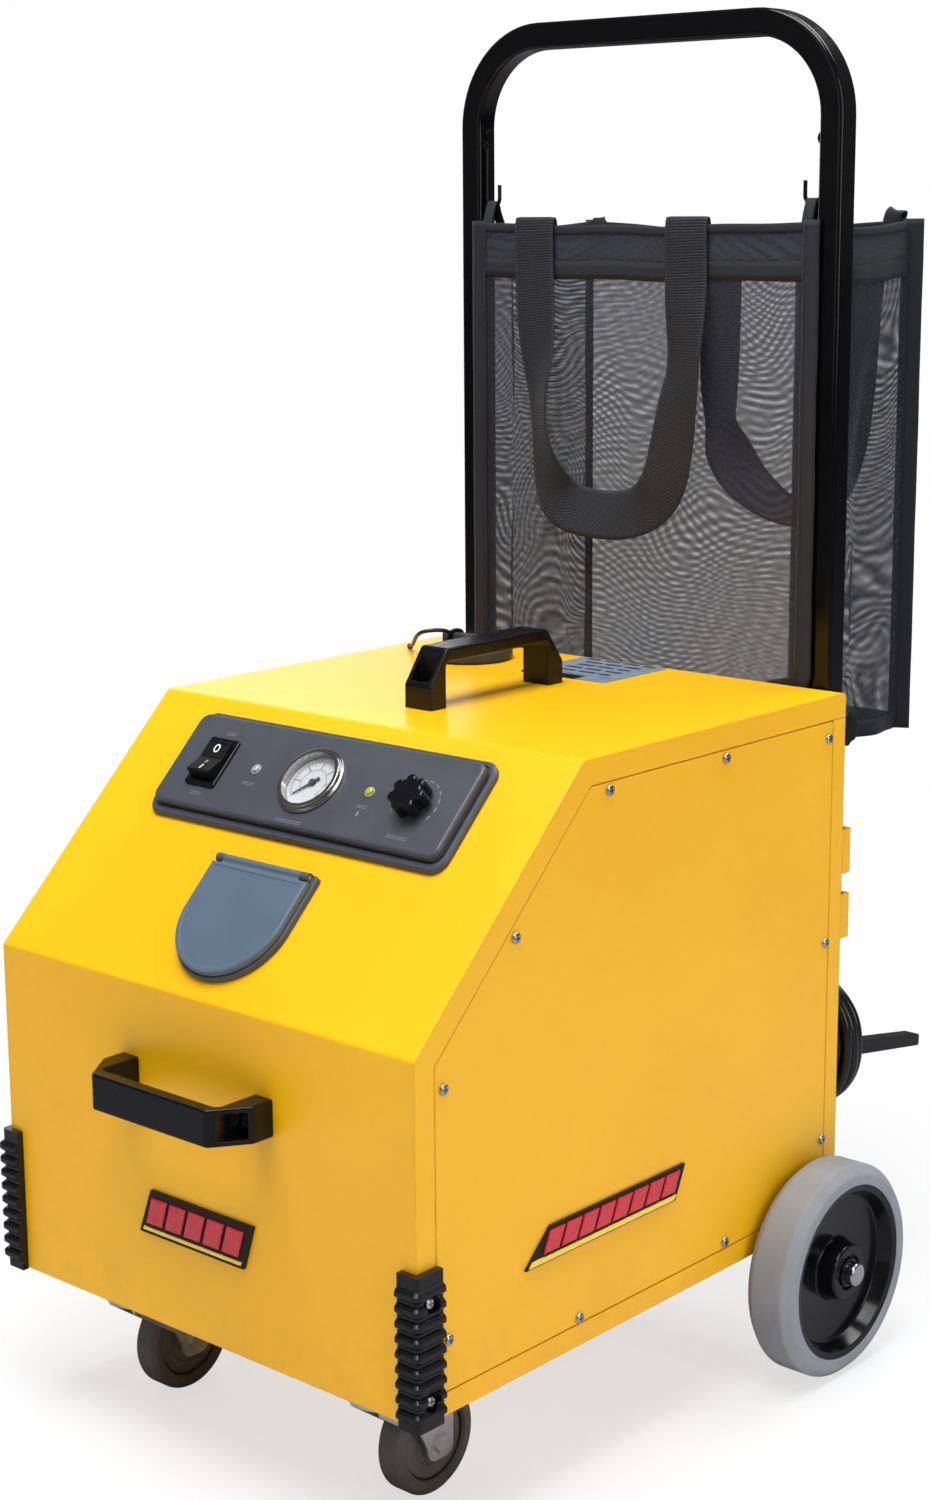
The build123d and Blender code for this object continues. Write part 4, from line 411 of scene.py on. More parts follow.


# name, screen RGB, roughness, colour variation, blotch scale, grain scale,
# grain depth in micrometres, gloss variation, painted edge highlight, specular, coat
PLAIN = [
    ("powder_coat_black", (7, 7, 9), 0.14, 0.1, 12, 700, 30, 0.06, 0.04, 0.3, 0),
    ("moulded_black", (13, 13, 15), 0.24, 0.12, 50, 1600, 40, 0.1, 0.12, 0.28, 0),
    ("moulded_black_gloss", (12, 12, 16), 0.16, 0.1, 40, 900, 30, 0.06, 0.08, 0.36, 0),
    ("moulded_guard", (15, 16, 20), 0.24, 0.14, 60, 1500, 40, 0.08, 0.14, 0.42, 0),
    ("panel_grey", (66, 70, 78), 0.38, 0.06, 20, 1700, 160, 0.1, 0.35, 0.5, 0),
    ("flap_slate", (82, 100, 117), 0.42, 0.06, 16, 1500, 100, 0.1, 0.3, 0.5, 0),
    ("socket_slate", (70, 76, 84), 0.5, 0.08, 20, 1500, 100, 0.1, 0.35, 0.5, 0),
    ("cap_grey", (46, 50, 56), 0.5, 0.1, 30, 1500, 140, 0.12, 0.4, 0.5, 0),
    ("rocker_black", (15, 15, 17), 0.5, 0.1, 50, 1600, 50, 0.08, 0.1, 0.16, 0),
    ("cord_sheath", (14, 14, 15), 0.24, 0.1, 40, 600, 60, 0.1, 0, 0.5, 0),
    ("tank_natural", (226, 226, 218), 0.4, 0.05, 12, 500, 100, 0.12, 0, 0.5, 0),
    ("pump_grey", (58, 60, 66), 0.45, 0.12, 60, 900, 60, 0.12, 0.3, 0.5, 0),
    ("board_green", (24, 92, 52), 0.35, 0.25, 160, 900, 60, 0.12, 0, 0.5, 0),
    ("lever_red", (178, 28, 22), 0.38, 0.12, 60, 900, 60, 0.12, 0.3, 0.5, 0),
    ("dial_white", (236, 238, 240), 0.55, 0.03, 40, 900, 60, 0.12, 0, 0.5, 0),
    ("ink_black", (20, 20, 22), 0.5, 0.12, 300, 900, 60, 0.12, 0, 0.5, 0),
    ("ink_red", (190, 32, 28), 0.5, 0.12, 300, 900, 60, 0.12, 0, 0.5, 0),
    ("ink_blue", (60, 92, 160), 0.5, 0.12, 300, 900, 60, 0.12, 0, 0.5, 0),
    ("mark_white", (235, 235, 235), 0.45, 0.04, 300, 900, 60, 0.12, 0, 0.5, 0),
    ("mark_grey", (118, 122, 130), 0.5, 0.08, 300, 900, 60, 0.12, 0, 0.5, 0),
    ("badge_red", (206, 38, 52), 0.25, 0.08, 90, 900, 60, 0.12, 0.3, 0.5, 0.5),
    ("badge_black", (15, 13, 13), 0.3, 0.12, 90, 900, 60, 0.12, 0.2, 0.3, 0),
    ("badge_yellow", (250, 214, 84), 0.3, 0.06, 90, 900, 60, 0.12, 0, 0.5, 0.4),
    ("sewing_thread", (24, 24, 28), 0.7, 0.12, 400, 900, 60, 0.12, 0, 0.5, 0),
    ("tether_tip", (72, 48, 36), 0.5, 0.12, 200, 900, 60, 0.12, 0, 0.5, 0),
]
# name, linear RGB, roughness, streak axis, streak stretch, streak scale, stain
BRUSHED = [
    ("chrome", (0.62, 0.62, 0.64), 0.12, 0, 1.0, 80, 0),
    ("gauge_steel", (0.44, 0.41, 0.39), 0.18, 0, 6.0, 140, 0),
    ("zinc", (0.66, 0.68, 0.70), 0.34, 0, 2.0, 90, 0),
    ("caster_zinc", (0.72, 0.74, 0.77), 0.4, 2, 4.0, 60, 0),
    ("bolt_dark", (0.30, 0.31, 0.33), 0.3, 0, 2.0, 90, 0),
    ("boiler_stainless", (0.62, 0.61, 0.60), 0.3, 0, 26.0, 220, 0.25),
    ("brass", (0.76, 0.56, 0.24), 0.3, 0, 3.0, 220, 0.3),
    ("copper", (0.74, 0.40, 0.26), 0.32, 0, 3.0, 220, 0.3),
]
powder_yellow()
for row in PLAIN:
    plain(*row)
for row in BRUSHED:
    brushed(*row)
rubber("tyre_grey", srgb(142, 146, 154), rough=0.6)
rubber("pad_black", srgb(30, 30, 31), rough=0.75)
rubber("hose_clear", srgb(190, 190, 188), rough=0.35, dusty=0.1)
caster_wheel()
gauge_window()
lens("lamp_clear", (0.52, 0.56, 0.58, 1), glow=0.0)
lens("lamp_green", (0.42, 0.46, 0.09, 1), glow=0.18)
lens("amber", (0.30, 0.20, 0.15, 1), glow=0.05)
webbing()
binding_tape()
net("hem_net", srgb(44, 46, 58), cover=0.76, moire=0.5)
net("net", srgb(38, 40, 52), cover=0.40, moire=2.0)
net("net_side", srgb(32, 34, 44), cover=0.57, moire=2.6, bend=1.7)
rating_foil()
floor_pale()

# --------------------------------------------------------- materials on the CAD
# pieces of each material; every piece that is not listed is zinc
PIECES = {
    "powder_coat_yellow": "hood base_tray rear_panel side_panel_right side_panel_left "
                          "handle_mounts",
    "powder_coat_black": "push_handle bag_hooks cord_hooks",
    "chrome": "pan_head_screws valve_nut axle_caps",
    "gauge_steel": "gauge_case",
    "caster_zinc": "caster_plates caster_fork_right caster_fork_left",
    "moulded_guard": "corner_guards",
    "moulded_black": "front_handle top_handle handle_knob_right handle_knob_left",
    "moulded_black_gloss": "output_knob rim_right rim_left switch_housing",
    "cap_grey": "filler_cap filler_neck",
    "panel_grey": "control_panel",
    "rocker_black": "rocker_button",
    "ink_black": "gauge_needle",
    "dial_white": "gauge_dial",
    "gauge_window": "gauge_glass",
    "lamp_clear": "indicator_lamps",
    "socket_slate": "socket_housing",
    "flap_slate": "socket_lid",
    "brass": "valve_body steam_socket boiler_valves drain_valve",
    "badge_black": "nameplates",
    "tyre_grey": "tyre_right tyre_left",
    "caster_wheel": "caster_wheel_right caster_wheel_left",
    "net": "bag",
    "cord_sheath": "power_cord cap_tether",
    "boiler_stainless": "boiler heating_element",
    "tank_natural": "water_tank",
    "pump_grey": "feed_pump",
    "board_green": "control_board",
    "copper": "steam_pipes",
    "hose_clear": "water_hose",
    "lever_red": "drain_lever",
}
piece_material = {piece: name for name, pieces in PIECES.items() for piece in pieces.split()}
for name, piece in cad_nodes.items():
    piece.data.materials.clear()
    piece.data.materials.append(MATERIALS[piece_material.get(name, "zinc")])


def repaint(node, material, test):
    """Gives a new material slot to the faces whose centre (x, depth, height) passes the test."""
    mesh = cad_nodes[node].data
    mesh.materials.append(MATERIALS[material])
    slot = len(mesh.materials) - 1
    for face in mesh.polygons:
        x, y, z = (value * 1000 for value in face.center)
        if test(x, y + Y_ORIGIN, z - FLOOR_GAP):
            face.material_index = slot


def in_mount_pad(x, depth, height):
    """True in the dark pads of the four handle mounts."""
    return (156.0 < abs(x) < 180.6
            and (463.9 < depth < 469.9 or 489.4 < depth < 492.85)
            and any(foot + 1.9 < height < foot + 31.6 for foot in (208.0, 258.0)))


repaint("indicator_lamps", "lamp_green", lambda x, depth, height: x > 0)
repaint("nameplates", "rating_foil", lambda x, depth, height: height > 350)
repaint("bolts", "gauge_steel", lambda x, depth, height: height > 100)
repaint("bolts", "bolt_dark",
        lambda x, depth, height: abs(x) < 160 and height < -27 and depth < 130.3)
repaint("handle_mounts", "pad_black", in_mount_pad)
for side, _ in SIDES:
    # bare metal hub round the axle
    repaint("caster_wheel_" + side, "zinc", lambda x, depth, height: math.hypot(
        depth - CASTER_D, height + FLOOR_GAP - CASTER_AXLE_Z) < 10.5)


# ----------------------------------------------------------------- mesh helpers
def new_object(name, verts, faces, materials, body=None, uvs=None, smooth=True,
               outward=True):
    """Mesh object; materials is one name or a list, uvs has one pair per vertex."""
    mesh = bpy.data.meshes.new(name)
    mesh.from_pydata([tuple(vert) for vert in verts], [], faces)
    mesh.update()
    if uvs is not None:
        layer = mesh.uv_layers.new(name="UVMap")
        for loop in mesh.loops:
            layer.data[loop.index].uv = uvs[loop.vertex_index]
    made = bpy.data.objects.new(name, mesh)
    bpy.context.scene.collection.objects.link(made)
    for material in [materials] if isinstance(materials, str) else materials:
        mesh.materials.append(MATERIALS[material])
    for face in mesh.polygons:
        face.use_smooth = smooth
    if outward:
        work = bmesh.new()
        work.from_mesh(mesh)
        bmesh.ops.recalc_face_normals(work, faces=work.faces)
        work.to_mesh(mesh)
        work.free()
    if body:
        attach(made, body)
    return made


def ring_faces(rings, around, start=0, closed=False, caps=True):
    """Quads between successive rings of vertices, then the two end caps."""
    faces = []
    for i in range(rings if closed else rings - 1):
        this, following = start + i * around, start + (i + 1) % rings * around
        for k in range(around):
            k2 = (k + 1) % around
            faces.append((this + k, this + k2, following + k2, following + k))
    if caps and not closed:
        end = start + (rings - 1) * around
        faces.append(tuple(range(start, start + around))[::-1])
        faces.append(tuple(range(end, end + around)))
    return faces


def catmull(points, per=12):
    """Smooth path through the points, in `per` steps between neighbours."""
    points = [Vector(point) for point in points]
    ext = [points[0] * 2 - points[1]] + points + [points[-1] * 2 - points[-2]]
    path = []
    for i in range(len(points) - 1):
        a, b, c, d = ext[i:i + 4]
        for j in range(per):
            t = j / per
            path.append(0.5 * ((2 * b) + (c - a) * t + (2 * a - 5 * b + 4 * c - d) * t * t
                               + (3 * b - a - 3 * c + d) * t ** 3))
    path.append(points[-1].copy())
    return path


def heading(path, i):
    return (path[min(i + 1, len(path) - 1)] - path[max(i - 1, 0)]).normalized()


def run_lengths(path):
    """Length of the path up to each of its points."""
    runs = [0.0]
    for i in range(1, len(path)):
        runs.append(runs[-1] + (path[i] - path[i - 1]).length)
    return runs


def point_along(path, runs, distance):
    """Point at a distance along the path, and the index of the piece it lies on."""
    i = max(0, min(len(runs) - 2, bisect_left(runs, distance) - 1))
    share = (distance - runs[i]) / max(1e-9, runs[i + 1] - runs[i])
    return path[i].lerp(path[i + 1], share), i


def ribbon(name, path, across, width, thick, material, edge=0.35, cross=8):
    """Flat band of the tote along a path; across[i] is the width direction at each point.

    The band thins over the last thick * edge of its width, and has cross strips across.
    """
    profile = [(-0.5 + k / cross, 0.5) for k in range(cross + 1)]
    profile += [(0.5 - k / cross, -0.5) for k in range(cross + 1)]
    runs = run_lengths(path)
    verts, uvs = [], []
    for i, point in enumerate(path):
        ahead = heading(path, i)
        side = (across[i] - ahead * across[i].dot(ahead)).normalized()
        out = ahead.cross(side).normalized()
        for u, v in profile:
            inward = min(1.0, (0.5 - abs(u)) * width / (thick * edge))
            bulge = math.sqrt(1 - (1 - inward) ** 2)
            verts.append(point + side * (u * width) + out * (thick * v * (0.55 + 0.45 * bulge)))
            uvs.append(((u + 0.5) * width, runs[i]))
    made = new_object(name, verts, ring_faces(len(path), len(profile)), material,
                      "tote", uvs)
    for face in made.data.polygons:
        if len(face.vertices) > 4:
            face.use_smooth = False
    return made


def tube(name, path, radius, material, body=None, sides=12, closed=False):
    """Round cord along a path; radius is one value or one for each point."""
    count = len(path)
    radii = radius if isinstance(radius, list) else [radius] * count
    runs = run_lengths(path)
    verts, uvs = [], []
    side = None
    for i, point in enumerate(path):
        if closed:
            ahead = (path[(i + 1) % count] - path[(i - 1) % count]).normalized()
        else:
            ahead = heading(path, i)
        if side is None:
            side = Vector((0, 0, 1)) if abs(ahead.z) < 0.9 else Vector((0, 1, 0))
        side = (side - ahead * side.dot(ahead)).normalized()
        other = ahead.cross(side)
        for k in range(sides):
            angle = 2 * math.pi * k / sides
            verts.append(point + side * (math.cos(angle) * radii[i])
                         + other * (math.sin(angle) * radii[i]))
            uvs.append((k / sides * 2 * math.pi * radii[i], runs[i]))
    return new_object(name, verts, ring_faces(count, sides, closed=closed), material,
                      body, uvs)


def joined(name, parts):
    """One mesh object in place of several."""
    bpy.context.view_layer.update()
    work = bmesh.new()
    materials = []
    for part in parts:
        materials += [m for m in part.data.materials if m not in materials]
    for part in parts:
        copy = part.data.copy()
        copy.transform(part.matrix_world)
        slots = [materials.index(m) for m in part.data.materials]
        for face in copy.polygons:
            face.material_index = slots[face.material_index]
        work.from_mesh(copy)
        bpy.data.meshes.remove(copy)
    mesh = bpy.data.meshes.new(name)
    work.to_mesh(mesh)
    work.free()
    made = bpy.data.objects.new(name, mesh)
    bpy.context.scene.collection.objects.link(made)
    for material in materials:
        mesh.materials.append(material)
    for part in parts:
        bpy.data.objects.remove(part)
    return made


def offset_left(outline, amount):
    """Closed outline moved to the left of its direction of travel."""
    moved = []
    for i in range(len(outline)):
        before, here, after = (Vector((*outline[(i + k) % len(outline)], 0))
                               for k in (-1, 0, 1))
        come, leave = (here - before).normalized(), (after - here).normalized()
        left1, left2 = Vector((-come.y, come.x, 0)), Vector((-leave.y, leave.x, 0))
        shift = (left1 + left2).normalized() / max(
            0.35, math.sqrt(max(0.02, (1 + left1.dot(left2)) / 2)))
        moved.append((here.x + shift.x * amount, here.y + shift.y * amount))
    return moved


def extruded(name, outlines, to_point, low, high, material, body, bevel=0.0):
    """Solids from flat outlines; to_point(u, v, out) gives the scene point."""
    verts, faces = [], []
    for outline in outlines:
        start = len(verts)
        if bevel:
            rings = [(outline, low), (outline, high - bevel),
                     (offset_left(outline, bevel), high)]
        else:
            rings = [(outline, low), (outline, high)]
        for points, out in rings:
            verts += [to_point(u, v, out) for u, v in points]
        faces += ring_faces(len(rings), len(outline), start)
    return new_object(name, verts, faces, material, body, smooth=False)


def rect(u0, v0, u1, v1):
    return [(u0, v0), (u1, v0), (u1, v1), (u0, v1)]


def arc_band(centre_u, centre_v, r_in, r_out, start, end, steps=32):
    """Closed outline of part of a ring, angles in degrees."""
    def arc(radius, first, last):
        angles = [math.radians(first + (last - first) * i / steps) for i in range(steps + 1)]
        return [(centre_u + radius * math.cos(a), centre_v + radius * math.sin(a))
                for a in angles]
    return arc(r_out, start, end) + arc(r_in, end, start)


def on_ellipse(centre_u, centre_v, half_u, half_v, i, steps):
    angle = 2 * math.pi * i / steps
    return centre_u + half_u * math.cos(angle), centre_v + half_v * math.sin(angle)


# ------------------------------------------------------------------ gauge marks
GAUGE_V = 169.1         # centre of the gauge up the slope
DIAL_OUT = 8.7          # dial face over the slope
DIAL_START = 225        # degrees of the scale's zero, turning clockwise from there
ARC_ENDS = (-44.5, 224.5)


def dial(name, outlines, material):
    extruded(name, outlines, on_slope, DIAL_OUT - 0.02, DIAL_OUT + 0.09, material,
             "base")


def tick(r_in, r_out, half, turn):
    """Radial mark, turned clockwise in degrees from the zero."""
    angle = math.radians(DIAL_START - turn)
    cos, sin = math.cos(angle), math.sin(angle)
    return [(u * cos - v * sin, GAUGE_V + u * sin + v * cos)
            for u, v in rect(r_in, -half, r_out, half)]


dial("dial_major_ticks", [tick(13.6, 17.6, 0.32, i * 9.0) for i in range(0, 31, 5)],
     "ink_black")
dial("dial_minor_ticks", [tick(15.6, 17.6, 0.14, i * 9.0) for i in range(31) if i % 5],
     "ink_black")
dial("dial_ring", [arc_band(0, GAUGE_V, 17.7, 18.05, *ARC_ENDS, steps=90)], "ink_black")
dial("dial_red_band", [arc_band(0, GAUGE_V, 18.3, 19.4, -45, 40, steps=40)], "ink_red")
dial("dial_inner_ticks", [tick(9.6, 10.9, 0.12, i * 10.0) for i in range(28)], "ink_blue")
dial("dial_inner_ring", [arc_band(0, GAUGE_V, 10.9, 11.15, *ARC_ENDS, steps=80)], "ink_blue")

NUMERAL_R = 12.4
NUMERAL_SIZE, NUMERAL_THICK = 0.0034, 0.00004   # metres
slope_turn = Matrix(((1, 0, 0), (0, SLOPE_COS, -SLOPE_SIN), (0, SLOPE_SIN, SLOPE_COS)))


def numeral(text, turn):
    """Flat mesh of a number on the dial, turn degrees clockwise from the zero."""
    angle = math.radians(DIAL_START - turn)
    curve = bpy.data.curves.new("numeral_" + text, "FONT")
    curve.body = text
    curve.size = NUMERAL_SIZE
    curve.align_x, curve.align_y = "CENTER", "CENTER"
    curve.extrude = NUMERAL_THICK
    curve.resolution_u = 4
    writing = bpy.data.objects.new("numeral_" + text, curve)
    bpy.context.scene.collection.objects.link(writing)
    place = on_slope(NUMERAL_R * math.cos(angle), GAUGE_V + NUMERAL_R * math.sin(angle),
                     DIAL_OUT + 0.05)
    writing.matrix_world = Matrix.Translation(place) @ slope_turn.to_4x4()
    bpy.context.view_layer.update()
    depsgraph = bpy.context.evaluated_depsgraph_get()
    mesh = bpy.data.meshes.new_from_object(writing.evaluated_get(depsgraph))
    made = bpy.data.objects.new("numeral_mesh_" + text, mesh)
    made.matrix_world = writing.matrix_world
    bpy.context.scene.collection.objects.link(made)
    mesh.materials.clear()
    mesh.materials.append(MATERIALS["ink_black"])
    bpy.data.objects.remove(writing)
    return made


numerals = joined("dial_numerals", [numeral(str(2 * i), i * 45.0) for i in range(7)])
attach(numerals, "base")

# ----------------------------------------------------------------- switch marks
SWITCH_X, KNOB_X, CONTROL_V = -96.5, 96.5, 168.4
ROCKER_TILT = SLOPE - math.radians(10.0)
ROCKER_CENTRE = on_slope(SWITCH_X, CONTROL_V, 9.5)
ROCKER_MID, ROCKER_RISE, ROCKER_HALF = 5.4, 3.0, 14.6   # height at mid, rise to an end, half


def on_rocker(x, along, out):
    """Point on the rocker: up the button, and out of its two slanting faces."""
    lift = ROCKER_MID + abs(along) * (ROCKER_RISE / ROCKER_HALF) + out
    cos, sin = math.cos(ROCKER_TILT), math.sin(ROCKER_TILT)
    return ROCKER_CENTRE + Vector((x, along * cos - lift * sin,
                                   along * sin + lift * cos)) / 1000.0


def rocker(name, outlines, material, high=0.12):
    extruded(name, outlines, on_rocker, -0.03, high, material, "power_switch")


off_inner, off_outer = (0.1, 8.4, 1.75, 2.35), (0.1, 8.4, 2.75, 3.4)    # centre, half sizes
rocker("rocker_off_mark",
       [[on_ellipse(*off_inner, i, 24), on_ellipse(*off_outer, i, 24),
         on_ellipse(*off_outer, i + 1, 24), on_ellipse(*off_inner, i + 1, 24)]
        for i in range(24)], "mark_white")
rocker("rocker_on_mark", [rect(-0.55, -12.0, 0.55, -7.6)], "mark_white")
rocker("rocker_pilot", [[on_ellipse(0, -4.4, 1.45, 1.75, i, 20) for i in range(20)]],
       "amber", high=0.4)
rocker("rocker_grip_lines",
       [rect(-9.8, along, 9.8, along + 0.35) for along in (12.6, 13.6, -13.2, -14.1)],
       "moulded_black", high=0.28)

# ------------------------------------------------------------------ panel marks
PANEL_OUT = 10.5        # panel face over the slope
LAMP_X = 54.2
KNOB_SCALE_R = 18.2


def panel(name, outlines):
    extruded(name, outlines, on_slope, PANEL_OUT - 0.03, PANEL_OUT + 0.12, "mark_grey",
             "base")


def knob_dash(i):
    """One of the dashes round the knob, growing wider clockwise."""
    end = 215 - i * 21.5
    width = 0.35 + i * 0.09
    return arc_band(KNOB_X, CONTROL_V, KNOB_SCALE_R - width * 0.5, KNOB_SCALE_R + width * 0.5,
                    end - 12.0, end, steps=6)


panel("knob_scale", [knob_dash(i) for i in range(12)])
# pairs of short rules: centre x, distance up the slope, length
RULES = [(-LAMP_X, 158.4, 12), (LAMP_X, 158.4, 9), (0, 136.6, 24),
         (SWITCH_X, 143.2, 10), (SWITCH_X, 194.0, 10), (KNOB_X, 141.6, 18)]
panel("panel_rules",
      [rect(x - length / 2, along - drop, x + length / 2, along - drop + 0.45)
       for x, along, length in RULES for drop in (0, 1.6)])
drop_turns = [2 * math.pi * i / 24 for i in range(24)]
panel("drop_mark", [[(LAMP_X + 1.6 * math.sin(t) * math.sin(t / 2) ** 1.2,
                      152.6 + 2.2 * math.cos(t)) for t in drop_turns]])


# ----------------------------------------------------------------------- badges
def on_front(x, height, out):
    return at(x, -out, height)


def stripes(start, count, width, pitch, low, high, slope):
    """Even bars leaning by slope times their height."""
    lean = (high - low) * slope
    return [[(left, low), (left + width, low), (left + width + lean, high), (left + lean, high)]
            for left in (start + k * pitch for k in range(count))]


def badge(name, outlines, to_point, low, high, material, bevel):
    extruded(name, outlines, to_point, low, high, material, "base", bevel)


badge("front_badge_bars",
      stripes(-50, count=5, width=15.5, pitch=18.6, low=72, high=91, slope=10 / 32),
      on_front, 2.35, 3.9, "badge_red", bevel=0.45)
badge("front_badge_line", [[(-54, 66.4), (42, 66.4), (43, 69.0), (-53, 69.0)]],
      on_front, 2.35, 3.4, "badge_yellow", bevel=0.3)
for side, sign in SIDES:
    def on_side(depth, height, out, sign=sign):
        return at(sign * (SIDE_X + out), depth, height)

    bars = stripes(119, count=8, width=15.2, pitch=17.9, low=79, high=93.4, slope=11 / 24)
    rule = [(104.5, 73.2), (259, 73.2), (262, 76.8), (108, 76.8)]
    if sign < 0:
        # run the other way round, these outlines spread towards the top of the bevel
        bars = [bar[::-1] for bar in bars]
        rule = rule[::-1]
    badge("side_badge_bars_" + side, bars, on_side, 1.95, 3.4, "badge_red", bevel=0.4)
    badge("side_badge_line_" + side, [rule], on_side, 1.95, 3.2, "badge_yellow", bevel=0.3)

# ---------------------------------------------------------------- filler tether
CAP_X, CAP_D = -112.0, 400.0
TETHER_R = 0.00155


def by_cap(x, depth, height):
    """Point from x and depth measured from the filler cap's centre."""
    return at(CAP_X + x, CAP_D + depth, height)


# x and depth from the cap's centre, height
TETHER = [(-12, -5.2, 418.2), (-14, -12.0, 421.6), (-19, -21, 422.4), (-27, -25, 420.4),
          (-36, -21, 415.4), (-45, -14, 409.6), (-54, -6.5, 404.9), (-61, -1.5, 402.6)]
KNOT = [(-15, -6.4, 414), (-14, -6.0, 418.8), (-13, 0, 420.6), (-12, 6.0, 418.6),
        (-12, 6.4, 412)]
# distance along the clip, lift, radius in metres
CLIP = [(-3.4, 0, 0.0012), (-2.4, 0.1, 0.0021), (0, 0.2, 0.0024), (2.6, 0.5, 0.0021),
        (4.0, 1.0, 0.0013)]

tether = tube("cap_tether_cord", catmull([by_cap(*point) for point in TETHER], 14),
              TETHER_R, "cord_sheath", sides=10)
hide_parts("cap_tether")
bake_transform(tether)
tube("cap_tether_clip",
     [by_cap(-61 + along * 0.9, -1.5 - along * 0.7, 402.4 + lift) for along, lift, _ in CLIP],
     [radius for _, _, radius in CLIP], "tether_tip", "base", sides=16)
# second strand looped over the cap
tube("cap_tether_knot", catmull([by_cap(*point) for point in KNOT], 10),
     TETHER_R, "cord_sheath", "filler_lid", sides=10)

# ------------------------------------------------------------------- power cord
CORD_R = 0.0039
COIL_H = 124.0                          # height of the coil's middle
COIL_HALF_LEN, COIL_HALF_H = 197.5, 51.0
# inset from the outermost turn, depth
TURNS = [(0.0, 476.6), (8.2, 476.2), (0.6, 484.8), (9.0, 485.2), (1.2, 493.4), (9.6, 493.0)]
LEAD = [(60, 463.5, 52), (60, 474, 52.5), (62, 482.5, 58), (66, 486, 70), (74, 487, 77)]
# bushing on the rear panel: radius, distance out
BUSHING = [(13, 0), (13, 2.2), (12, 3), (9, 3.2), (8.6, 5), (7.6, 5.4), (8.2, 7), (7.0, 7.4),
           (7.6, 9), (6.4, 9.4), (6.9, 11), (5.6, 12), (4.1, 12.4)]


def coil_turn(inset, depth, phase, steps=120):
    """One long loop round the cord hooks, sagging and wandering a little."""
    half_len, half_h = COIL_HALF_LEN - inset, COIL_HALF_H - inset
    straight = half_len - half_h
    points = []
    for i in range(steps):
        angle = 2 * math.pi * i / steps
        cos, sin = math.cos(angle), math.sin(angle)
        x = math.copysign(straight, cos) * min(1, abs(cos) * 4) + half_h * cos
        rise = half_h * math.copysign(abs(sin) ** 0.85, sin)
        sag = -3.2 * math.cos(math.pi * x / (2 * half_len)) * (1 if rise < 0 else 0.6)
        x += 0.8 * math.sin(2 * angle + phase)
        rise += sag + 0.9 * math.sin(3 * angle + phase * 1.7)
        wander = 0.8 * math.sin(2 * angle + phase * 0.6)
        points.append(at(x, depth + wander, COIL_H + rise))
    return points


cord_parts = [tube("cord_turn_%d" % i, coil_turn(inset, depth, phase=i * 1.3), CORD_R,
                   "cord_sheath", "base", closed=True)
              for i, (inset, depth) in enumerate(TURNS)]
cord_parts.append(tube("cord_lead", catmull([at(*point) for point in LEAD]), CORD_R,
                       "cord_sheath", "base"))
cord_parts.append(tube("cord_bushing", [at(60, 464.0 + out, 52) for _, out in BUSHING],
                       [radius / 1000 for radius, _ in BUSHING], "moulded_black", "base",
                       sides=32))
cord = joined("power_cord_wound", cord_parts)
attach(cord, "base")
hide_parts("power_cord")

# ------------------------------------------------------------------- tote walls
TOP_H, FOOT_H = 733.0, 348.0
HEM = 31.0
HEM_H = TOP_H - HEM
FRONT_D, REAR_D = 467.4, 601.5
REAR_HALF = 151.5                       # half the rear wall's width
FRONT, RIGHT, REAR, LEFT = range(4)     # the walls, in their order round the tote
WALL_STEPS = (64, 44, 64, 44)
NET_ROWS, HEM_ROWS, BOTTOM_RINGS = 96, 8, 10
BOTTOM_SAG = 0.006                      # metres


def ease(t):
    """Smooth step from 0 to 1."""
    t = max(0.0, min(1.0, t))
    return t * t * (3 - 2 * t)


def rise_at(height):
    """0 at the tote's foot, 1 at its top."""
    return (height - FOOT_H) / (TOP_H - FOOT_H)


def tuck(height):
    """1 low down, where the front corners tuck in over the handle brackets."""
    return ease((403 - height) / 12.0)


def front_half(height):
    """Half the front wall's width."""
    return 160.0 - 34.0 * tuck(height)


@functools.lru_cache(maxsize=None)
def gusset(height):
    """Evenly spaced points (x, depth) of the right wall, from front to rear."""
    low, half = tuck(height), front_half(height)
    outline = [
        (half, FRONT_D), (min(half, 150), 469.0), (min(half, 142), 471.4),
        (min(half, 138.4), 475.6), (min(half, 138.2), 483.0), (min(half + 4, 142.5), 491.0),
        (150 - 9 * low, 498.5), (155 - 5 * low, 510.0), (157.5, 530.0), (157.0, 555.0),
        (154.5, 580.0), (REAR_HALF, REAR_D)]
    path = catmull([Vector((x, depth, 0)) for x, depth in outline], 10)
    runs = run_lengths(path)
    steps = WALL_STEPS[RIGHT]
    return [point_along(path, runs, runs[-1] * i / steps)[0] for i in range(steps + 1)]


